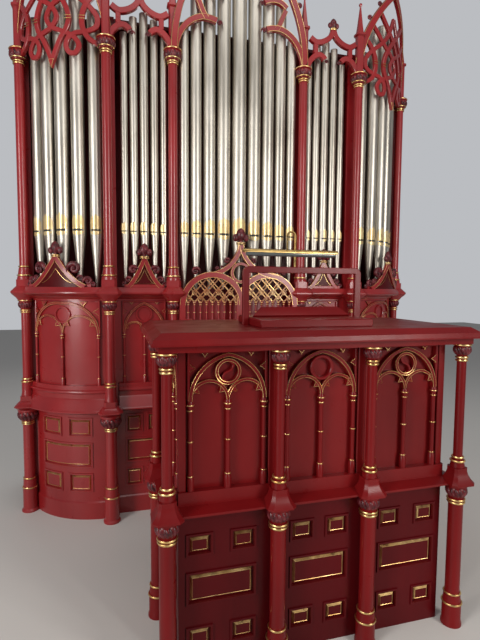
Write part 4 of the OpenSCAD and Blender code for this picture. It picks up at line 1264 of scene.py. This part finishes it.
class ORGAN_OT_screen(bpy.types.Operator):
    """Carve the centre bay's arches, lattice and gable"""
    bl_idname = "organ.screen"
    bl_label = "Centre screen"

    spring, radius, axis_x = 1.378, 0.197, 0.188
    rail_z, rail_h = 1.210, 0.034
    crown, knot_z = spring + radius, spring + 0.036

    def wall(self, plan):
        """The low wall, with a shelf behind the rail."""
        half, shelf = 0.391, self.rail_z + self.rail_h - 0.002
        relief = Relief(flat_place(0.0, plan.front_y + plan.bay_back))
        relief.sheet(half, plan.sill_z, plan.cornice_z, -WALL, 0.0, 2)
        relief.under([(-half, shelf), (half, shelf)], self.rail_z + 0.002, -0.01, 0.10)
        relief.done("screen_wall", "centre_screen")

    def arches(self, plan):
        """Two round arches under a curved gable, with a rail, three posts and scrolled leaves."""
        crown, width, front = self.crown, 0.038, 0.028
        relief = Relief(flat_place(0.0, plan.front_y + 0.008))
        arm = ((262, -14), (188, 2), (140, 18), (98, 42), (62, 74), (30, 117), (10, 160), (3, 196))
        for s, _ in SIDES:
            over = [(s * self.axis_x + self.radius * math.cos(a), self.spring + self.radius * math.sin(a))
                    for a in [math.pi * i / 24 for i in range(25)]]
            relief.band(over, width, 0.0, front)
            for x in (s * (self.axis_x + self.radius), s * (self.axis_x - self.radius)):
                relief.band([(x, plan.sill_z), (x, self.spring)], width, 0.0, front - 0.001, gilt=False)
            relief.band(traced(arm, s, crown), width * 0.8, 0.0, front)
            for x, z, r in ((0.300, 0.022, 0.038), (0.092, 0.092, 0.028), (0.160, 0.042, 0.018),
                            (0.127, 0.052, 0.014)):
                relief.leaf(x, crown + z, r, front / 2, s)
        roundel_r, roundel_w, neck_w = 0.060, 0.020, 0.032
        relief.band(ring(0, crown + 0.014, roundel_r), roundel_w, 0.001, front + 0.002, True)
        relief.band([(0, crown + 0.15), (0, crown + 0.194)], neck_w, 0.002, front - 0.002, gilt=False)
        relief.bud(crown + 0.19, 0.058, front / 2)
        end, middle = self.axis_x + self.radius, self.rail_z + self.rail_h / 2
        relief.band([(-end, middle), (end, middle)], self.rail_h, 0.0, front - 0.004, gilt=False)
        post_w, post_h, proud = 0.084, 0.078, 0.006
        for x in (0.022 - end, 0.0, end - 0.022):
            post = [(x, self.rail_z), (x, self.rail_z + post_h)]
            relief.band(post, post_w, -proud, front + proud, gilt=False, bevel=proud)
        relief.done("screen_arches", "centre_screen", "relief_line")
        return relief

    def lattice(self, plan):
        """Crossing bars with rings in each arch; returns the feet of the shafts under them."""
        relief = Relief(flat_place(0.0, plan.front_y + 0.002))
        pitch, bar, thin, thick = 0.080, 0.007, 0.002, 0.012
        feet = []
        for s, _ in SIDES:
            middle = Vector((s * self.axis_x, self.spring))
            for i in range(-4, 5):
                start = Vector((s * self.axis_x + i * pitch / 2, self.knot_z - (0.018 if i % 2 else 0.0)))
                feet.append(Vector((start.x, plan.front_y - 0.003, 0)))
                for turn in (math.radians(48), math.radians(132)):
                    way = Vector((math.cos(turn), math.sin(turn)))
                    gap = start - middle
                    along = gap.dot(way)
                    reach = along * along - gap.length_squared + (self.radius - thick) ** 2
                    end = start + way * (math.sqrt(max(reach, 0.0)) - along)
                    if reach > 0 and end.y > start.y:
                        relief.band([tuple(start), tuple(end)], bar, 0.0, 0.010, bevel=thin)
                if i % 2 == 0:
                    relief.band(ring(start.x, start.y, 0.015, 14), bar, 0.0, thick, True, bevel=thin)
                    knot = start + Vector((pitch / 2, 0.045))
                    if (knot - middle).length < self.radius - 0.03:
                        relief.band(ring(knot.x, knot.y, 0.014, 14), 0.006, 0.0, thick, True, bevel=thin)
        relief.done("screen_lattice", "centre_screen", "lattice_line")
        return feet

    def execute(self, context):
        plan, gilding = settings()[:2]
        self.wall(plan)
        relief = self.arches(plan)
        feet = self.lattice(plan)
        shafts("screen_shafts", feet, self.rail_z + self.rail_h - 0.001, self.knot_z - 0.012, 0.006)
        foliage("screen", [relief], gilding.collar)
        return {"FINISHED"}


class ORGAN_OT_desk_tracery(bpy.types.Operator):
    """Carve the console's tracery, stiles and slender shafts"""
    bl_idname = "organ.desk_tracery"
    bl_label = "Console tracery"

    def bay(self, name, place, left, right, half, bend):
        """Tracery over three shafts, between two stiles; returns the feet of the shafts."""
        plan = settings()[0]
        relief = Relief(place)
        depth, gap, width, back = 0.024, 0.018, 0.016, -0.001
        rise = plan.desk_top - plan.desk_spring - 0.022
        tracery(relief, half, rise, plan.desk_spring, width, depth, bend)
        for x0, x1 in ((-left, -half - gap), (half + gap, right)):
            middle = (x0 + x1) / 2
            relief.band([(middle, plan.desk_sill), (middle, plan.desk_top)], x1 - x0, back, depth, gilt=False)
        rail = plan.desk_top - 0.006
        relief.band([(-left, rail), (right, rail)], 0.012, back, depth - 0.001, gilt=False)
        relief.done(name, "console_tracery", "desk_line")
        shaft_out = 0.0152
        return [place(x, shaft_out, 0) for x in (-half, 0, half)]

    def execute(self, context):
        plan = settings()[0]
        side_x, sill = plan.desk_side - WALL, plan.desk_sill - 0.002
        face = plan.desk_front + WALL
        thick = 0.022
        wall = Relief(flat_place(0.0, face))
        wall.sheet(side_x, sill, plan.desk_top, -thick, 0.0, 2)
        for s, _ in SIDES:
            x0, depth = side_x - thick, DESK_BACK - face
            corners = ((x0, thick), (side_x, thick), (side_x, depth), (x0, depth))
            wall.skin([[(s * x, -y, z) for x, y in corners] for z in (sill, plan.desk_top)])
        wall.done("console_walls", "console_panels", "desk_line")
        bay_x = (plan.desk_outer_x + plan.desk_inner_x) / 2 - 0.024
        outer, inner = plan.desk_side - bay_x, bay_x - plan.desk_inner_x
        feet = []
        for word, x, left, right, bend in (("left", -bay_x, outer, inner, 1),
                                           ("middle", 0.0, plan.desk_inner_x, plan.desk_inner_x, 0),
                                           ("right", bay_x, inner, outer, -1)):
            feet += self.bay(word + "_console_bay", flat_place(x, face), left, right, 0.147, bend)
        side_y = (plan.desk_front + plan.desk_y + plan.desk_row) / 2
        for side, word in SIDES:
            feet += self.bay(word + "_console_side", flat_place(side_x, side_y, side), side_y - face,
                             DESK_BACK - side_y, 0.118, side)
        shafts("console_shafts", feet, plan.desk_sill, plan.desk_spring, 0.010, "desk_crimson")
        return {"FINISHED"}


class ORGAN_OT_panel_frames(bpy.types.Operator):
    """Lay mouldings and gilt slopes round the fielded panels of the case and the console"""
    bl_idname = "organ.panel_frames"
    bl_label = "Panel frames"

    def fields(self, width, small, rows, tall):
        """Two small panels, a wide one and two small ones, as (middle, width, height, size)."""
        found = [(s * (width - small) / 2, small, z, tall[0]) for s, _ in SIDES for z in (rows[0], rows[2])]
        return found + [(0.0, width, rows[1], tall[1])]

    def execute(self, context):
        plan = settings()[0]
        deep, shallow = 0.007, 0.001
        case = ((0.240, 0.420, 0.600), (0.100, 0.140))
        desk = ((0.130, 0.331, 0.506), (0.066, 0.110))
        wall = plan.front_y + plan.bay_back
        for side, word in SIDES:
            for part, place, width, small in (("tower", bowed_place(side), 0.330, 0.130),
                                              ("bay", bay_place(side), 0.230, 0.090),
                                              ("centre", flat_place(side * 0.1955, wall), 0.300, 0.120)):
                framed(f"{word}_{part}", place, self.fields(width, small, *case), deep)
        # The console's front and side panels take the darker base lacquer: painted shade of the lowest stage.
        for x, width, word in ((-0.416, 0.260, "left"), (0.0, 0.240, "middle"), (0.416, 0.260, "right")):
            fields = self.fields(width, 0.084, *desk)
            framed(word + "_console", flat_place(x, plan.desk_front), fields, deep, 1, "base_crimson")
        for side, word in SIDES:
            place = flat_place(plan.desk_side, (plan.desk_front + plan.desk_y + plan.desk_row) / 2, side)
            framed(word + "_side", place, self.fields(0.210, 0.070, *desk), shallow, 1, "base_crimson")
        return {"FINISHED"}


class ORGAN_OT_music_desk(bpy.types.Operator):
    """Make the music frame, its low board and the platform between its posts"""
    bl_idname = "organ.music_desk"
    bl_label = "Music desk"

    def execute(self, context):
        plan = settings()[0]
        half, bar, top, frame_y, thick, corner = 0.280, 0.028, 1.587, -0.851, 0.018, 0.014
        reach = half - bar / 2
        bend = [(reach - corner * (1 - math.cos(a)), top - bar / 2 - corner * (1 - math.sin(a)))
                for a in [math.pi / 2 * i / 5 for i in range(6)]]
        right = [(reach, plan.table_z)] + bend
        line = right + [(-x, z) for x, z in reversed(right)]
        bars = Relief(flat_place(0.0, frame_y + thick))
        bars.band(line, bar, 0.0, thick, gilt=False)
        bars.done("music_bars", "music_frame", "desk_line")

        step_half, step_y, step_z, step_depth = 0.2517, -0.671, 1.368, 0.34
        platform = Relief(flat_place(0.0, step_y))
        platform.under([(-step_half, step_z), (step_half, step_z)], plan.table_z, 0.0, step_depth)
        step = platform.done("music_step", "music_platform", "desk_line")
        bm = bmesh.new()
        bm.from_mesh(step.data)
        bmesh.ops.bevel(bm, geom=bm.edges, offset=0.004, segments=2, affect="EDGES")
        bm.to_mesh(step.data)
        bm.free()

        lean = 0.7071
        low, high, board_z = 0.230, 0.185, 0.05
        board = Relief(lambda x, out, z: Vector((x, frame_y + thick + lean * z - lean * out,
                                                 step_z + lean * z + lean * out)))
        board.skin([[(-low, out, 0.0), (low, out, 0.0), (high, out, board_z), (-high, out, board_z)]
                    for out in (0.0, 0.010)])
        board.done("music_board", "music_panel", "desk_line")
        return {"FINISHED"}


class ORGAN_OT_column_rings(bpy.types.Operator):
    """Put gilt rings on the turned beads of every column and shaft"""
    bl_idname = "organ.column_rings"
    bl_label = "Column rings"

    def execute(self, context):
        gilding = settings()[1]

        def hoops(feet, levels):
            """A ring at each level, as (height, radius), over each foot."""
            return [(foot + Vector((0, 0, z)), radius) for foot in feet for z, radius in levels]

        found = []
        for _, _, feet, z0, z1, r, base, cap in column_sets():
            drum = z0 + base[2]
            neck = z1 - cap[1]
            found += hoops(feet, ((drum + 0.007, base[1] * 0.94 + 0.003), (drum + base[3] + 0.005, r + 0.003),
                                  (neck - 0.022, r + 0.003), (neck - 0.009, r + 0.004)))
        rings("column_rings", found, gilding.ring)
        top = hoops(case_columns(), ((2.957, 0.054), (2.904, 0.046), (1.400, 0.042)))
        top += hoops(desk_columns(), ((1.258, 0.036),))
        rings("capital_rings", top, gilding.capital_ring)
        return {"FINISHED"}


class ORGAN_OT_leaf_capitals(bpy.types.Operator):
    """Carve twisted leaves round the capitals"""
    bl_idname = "organ.leaf_capitals"
    bl_label = "Leaf capitals"

    def execute(self, context):
        carving = settings()[2]
        profile = ((0.66, -0.02), (0.84, 0.10), (0.98, 0.24), (1.06, 0.40), (1.07, 0.55), (1.0, 0.70),
                   (0.86, 0.80), (0.7, 0.82))

        def radius(share, angle, z):
            """Radius of the leaves, with a deep gap between them and fine veins."""
            phase = carving.leaves * angle + carving.twist * 2.8 * z
            leaf = abs(math.sin(phase)) ** 0.6
            vein = 0.25 * abs(math.sin(3 * phase))
            return share * (1 - carving.depth * (1 - leaf) - 0.05 * vein)

        def build(bm):
            loops = []
            for share, z in profile:
                around = [(a, radius(share, a, z)) for a in circle(84)]
                loops.append([bm.verts.new((r * math.cos(a), r * math.sin(a), z)) for a, r in around])
            loft(bm, loops)

        points = []
        for _, _, feet, _, z1, _, _, (wide, tall) in column_sets():
            points += standing(feet, z1 - tall, (wide, wide, tall))
        carvings("leaf_capitals", mesh_of("leaf_ring", build), points, "carved_leaf")
        return {"FINISHED"}


class ORGAN_OT_pipe_mouths(bpy.types.Operator):
    """Gild the upper and lower lips of the front pipes, and lay near-black plates of painted shade in their
    mouths
    """
    bl_idname = "organ.pipe_mouths"
    bl_label = "Pipe mouths"

    def row(self, d, fall, gap, count):
        """Offset and diameter of each pipe of a row that falls away from its middle."""
        made = []
        for i in range(-count, count + 1):
            x = 0.0
            for k in range(1, abs(i) + 1):
                x += gap + (d * (1 - fall * k) + d * (1 - fall * (k - 1))) / 2
            made.append((math.copysign(x, i) if i else 0.0, d * (1 - fall * abs(i))))
        return made

    def pipes(self):
        """Place, diameter and turn of every front pipe."""
        plan, _, _, pipes, _ = settings()
        # Fall in diameter from pipe to pipe, gap between two pipes, and pipes on each side of the middle
        centre_row, narrow_row, tower_row = (0.088, 0.012, 4), (0.08, 0.013, 2), (0.045, 0.026, 2)
        near, far, behind = 0.012, 0.048, 0.030
        flat_y = plan.front_y + pipes.row_back
        found = [(Vector((x, flat_y, 0)), d, 0.0) for x, d in self.row(pipes.centre_d, *centre_row)]
        bay = (-plan.tower_x + far - plan.centre_x - near) / 2
        reach = plan.bow_r - behind
        for side, _ in SIDES:
            found += [(Vector((-side * (bay + x), flat_y, 0)), d, 0.0)
                      for x, d in self.row(pipes.narrow_d, *narrow_row)]
            axis, out = tower_axis(side)
            turn0 = math.atan2(out.x, -out.y)
            for x, d in self.row(pipes.tower_d, *tower_row):
                turn = turn0 + side * math.asin(x / plan.bow_r)
                found.append((axis + Vector((reach * math.sin(turn), -reach * math.cos(turn), 0)), d, turn))
        return found

    def lip(self, outline, foot):
        """A thin plate on a pipe's round front, from a level up or down to an outline."""
        def build(bm):
            level = [(x, foot) for x, _ in outline]
            front, back, low_front, low_back = [
                [bm.verts.new((x, depth - math.sqrt(max(1 - x * x, 0.0)), z)) for x, z in line]
                for line in (outline, level) for depth in (-0.045, 0.02)]
            for upper, lower in ((front, low_front), (back, low_back), (front, back), (low_front, low_back)):
                for i in range(len(outline) - 1):
                    bm.faces.new((upper[i], upper[i + 1], lower[i + 1], lower[i]))
            for i in (0, -1):
                bm.faces.new((front[i], back[i], low_back[i], low_front[i]))
            bmesh.ops.recalc_face_normals(bm, faces=bm.faces)
        return build

    def execute(self, context):
        mouth_z = settings()[3].mouth_z
        # Outlines in shares of the pipe's radius: shoulders that fall off, a peak, and a round chin
        edge, half, tall, drop = 0.9, 0.16, 2.05, 0.62
        shoulder, fall, peak, peak_x = 0.55, 0.35 / 0.35 ** 2, 0.30, 0.24
        slot_x, slot_z = 0.66, 0.15
        xs = [edge * (i / 12 - 1) for i in range(25)]
        upper = [(x, half + tall * (1 - max(abs(x) - shoulder, 0) ** 2 * fall)
                  + peak * max(0.0, 1 - (x / peak_x) ** 2)) for x in xs]
        lower = [(x, -half - drop * math.sqrt(max(1 - (x / edge) ** 2, 0.0004))) for x in xs]
        # The slots are near-black plates across the open mouths: painted shade standing for the dark inside
        # of each pipe.
        slot = [(slot_x * (i / 6 - 1), slot_z) for i in range(13)]
        points = [(place + Vector((0, 0, mouth_z)), (d / 2, d / 2, d / 2), (0, 0, turn))
                  for place, d, turn in self.pipes()]
        for name, outline, foot, finish in (("upper_lips", upper, half, "mouth_gold"),
                                            ("lower_lips", lower, -half, "mouth_gold"),
                                            ("mouth_slots", slot, -slot_z, "mouth_dark")):
            source = mesh_of(name + "_source", self.lip(outline, foot))
            carvings(name, source, points, finish, 30)
        return {"FINISHED"}


class ORGAN_OT_music_light(bpy.types.Operator):
    """Make the brass shade, its glass tube and the hooked stem"""
    bl_idname = "organ.music_light"
    bl_label = "Music light"

    def part(self, name, sections, finish):
        """A smooth part through sections along X."""
        def build(bm):
            loft(bm, [[bm.verts.new(point) for point in section] for section in sections])
            bmesh.ops.recalc_face_normals(bm, faces=bm.faces)
        obj = mesh_of(name, build)
        obj.data.materials.append(finish_of(finish))
        smooth_faces(obj)
        return obj

    def execute(self, context):
        reach, radius, tube_r, hook = 0.22, 0.0155, 0.0115, 0.018
        foot, top = 1.587, 1.721
        middle = Vector((-0.060, -0.842, 1.647))
        end = reach - 0.004
        half_turn = [math.pi * i / 14 for i in range(15)]
        outline = [(math.cos(a) * radius, math.sin(a) * radius) for a in half_turn]
        sections = []
        for x, grow, hollow in ((-reach, 0.94, 0.02), (-end, 1.0, 0.02), (-end, 1.0, 0.9), (end, 1.0, 0.9),
                                (end, 1.0, 0.02), (reach, 0.94, 0.02)):
            rim = outline + [(y * hollow, z * hollow) for y, z in reversed(outline)]
            sections.append([(middle.x + x, middle.y + y * grow, middle.z + z * grow) for y, z in rim])
        shell = self.part("light_shade", sections, "old_brass")
        sections = []
        for x, r in ((-0.206, 0.004), (-0.205, 0.0105), (-0.19, tube_r), (0.19, tube_r), (0.205, 0.0105),
                     (0.206, 0.004)):
            sections.append([(middle.x + x, middle.y + math.cos(a) * r, middle.z - 0.005 + math.sin(a) * r)
                             for a in circle(20)])
        glass = self.part("light_tube", sections, "tube_glass")

        path = [Vector((middle.x - hook, middle.y, middle.z + 0.006 + 0.006 * i)) for i in range(12)]
        path += [Vector((middle.x - hook * math.cos(a), middle.y, top + hook * math.sin(a)))
                 for a in half_turn]
        path += [Vector((middle.x + hook, middle.y, top + (foot - top) * i / 10)) for i in range(1, 11)]
        stem = gilt_lines("light_stem", list(zip(path, path[1:])), 0.0088)
        stem.data.materials.clear()
        stem.data.materials.append(finish_of("old_brass"))
        riding(shell)
        riding(glass)
        for piece in (shell, glass, stem):
            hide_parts("music_light")
        return {"FINISHED"}


# Strength of the pale room that the camera itself sees
SEEN_LEVEL = 0.62


class ORGAN_OT_stage(bpy.types.Operator):
    """Set the camera, the pale floor and the soft studio light"""
    bl_idname = "organ.stage"
    bl_label = "Stage"

    def light_world(self, scene, stage):
        """An even dim light; the camera itself sees a pale room."""
        scene.world = bpy.data.worlds.new("studio")
        scene.world.use_nodes = True
        tree = scene.world.node_tree
        back = tree.nodes["Background"]
        back.inputs["Color"].default_value = (0.80, 0.82, 0.86, 1)
        seen = tree.nodes.new("ShaderNodeLightPath").outputs["Is Camera Ray"]
        level = tree.nodes.new("ShaderNodeMapRange")
        level.inputs["To Min"].default_value = stage.world
        level.inputs["To Max"].default_value = SEEN_LEVEL
        tree.links.new(seen, level.inputs["Value"])
        tree.links.new(level.outputs[0], back.inputs["Strength"])

    def execute(self, context):
        stage = settings()[4]
        scene = context.scene
        camera = bpy.data.cameras.new("camera")
        camera.lens = stage.lens
        camera.sensor_width = 36.0
        camera.clip_end = 60.0
        eye = linked("camera", camera)
        eye.location = stage.eye
        turn = Matrix.Rotation(-stage.yaw, 4, "Z") @ Matrix.Rotation(math.pi / 2 + stage.pitch, 4, "X")
        eye.rotation_euler = (turn @ Matrix.Rotation(stage.roll, 4, "Z")).to_euler()
        scene.camera = eye

        floor = mesh_of("floor", lambda bm: bmesh.ops.create_grid(bm, x_segments=1, y_segments=1, size=14.0))
        shade = Shade("pale_floor", (0.62, 0.60, 0.57))
        shade.rough(shade.fit(shade.noise(3.0), 0.5, 0.65))
        floor.data.materials.append(shade.material)

        scene.view_settings.view_transform = "Standard"
        self.light_world(scene, stage)
        for name, place, aim, size, power, colour in (
                ("window", (-4.4, -3.2, 2.4), (-0.2, 0.1, 1.5), (1.4, 2.8), stage.key, (1.0, 0.98, 0.95)),
                ("window_right", (2.6, -5.2, 2.6), (0.1, 0.0, 1.6), (1.4, 2.6), stage.key, (1.0, 0.97, 0.92)),
                ("top", (0.0, -1.8, 5.0), (0.0, 0.3, 0.8), (3.4, 1.6), stage.fill, (1.0, 0.98, 0.95)),
                ("behind", (0.5, 4.4, 3.6), (0.0, 0.8, 1.4), (3.0, 2.4), stage.fill * 1.3, (1.0, 1.0, 1.0))):
            lamp = bpy.data.lights.new(name, "AREA")
            lamp.shape = "RECTANGLE"
            lamp.size, lamp.size_y = size
            lamp.energy = power
            lamp.color = colour
            lamp.specular_factor = 0.6 if name == "window_right" else 1.0
            obj = linked(name, lamp)
            obj.location = place
            obj.rotation_euler = (Vector(aim) - Vector(place)).to_track_quat("-Z", "Y").to_euler()
        return {"FINISHED"}


OPERATORS = (
    ORGAN_OT_stage, ORGAN_OT_finishes, ORGAN_OT_tower_arches, ORGAN_OT_flat_arches, ORGAN_OT_crests,
    ORGAN_OT_turned_columns, ORGAN_OT_mouldings, ORGAN_OT_case_tracery, ORGAN_OT_screen,
    ORGAN_OT_desk_tracery, ORGAN_OT_panel_frames, ORGAN_OT_column_rings, ORGAN_OT_leaf_capitals,
    ORGAN_OT_pipe_mouths, ORGAN_OT_music_desk, ORGAN_OT_music_light)
GROUPS = {"organ_plan": OrganPlan, "organ_gilding": OrganGilding, "organ_colours": OrganColours,
          "organ_carving": OrganCarving, "organ_pipes": OrganPipes, "organ_stage": OrganStage}


class ORGAN_PT_panel(bpy.types.Panel):
    """Settings and steps of the organ's looks"""
    bl_idname = "ORGAN_PT_panel"
    bl_label = "Pipe Organ"
    bl_space_type = "VIEW_3D"
    bl_region_type = "UI"
    bl_category = "Organ"

    def draw(self, context):
        for operator in OPERATORS:
            self.layout.operator(operator.bl_idname)
        for name, group in GROUPS.items():
            box = self.layout.box()
            for prop in group.__annotations__:
                box.prop(getattr(context.scene, name), prop)


def register():
    """Registers the classes and hangs the settings on the scene."""
    for cls in (*GROUPS.values(), *OPERATORS, ORGAN_PT_panel):
        bpy.utils.register_class(cls)
    for name, group in GROUPS.items():
        setattr(bpy.types.Scene, name, PointerProperty(type=group))


def unregister():
    """Takes the settings and the classes away again."""
    for name in GROUPS:
        delattr(bpy.types.Scene, name)
    for cls in reversed((*GROUPS.values(), *OPERATORS, ORGAN_PT_panel)):
        bpy.utils.unregister_class(cls)


def main():
    """Makes everything."""
    register()
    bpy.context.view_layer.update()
    for operator in OPERATORS:
        getattr(bpy.ops.organ, operator.bl_idname.split(".")[1])()


if __name__ == "__main__":
    main()
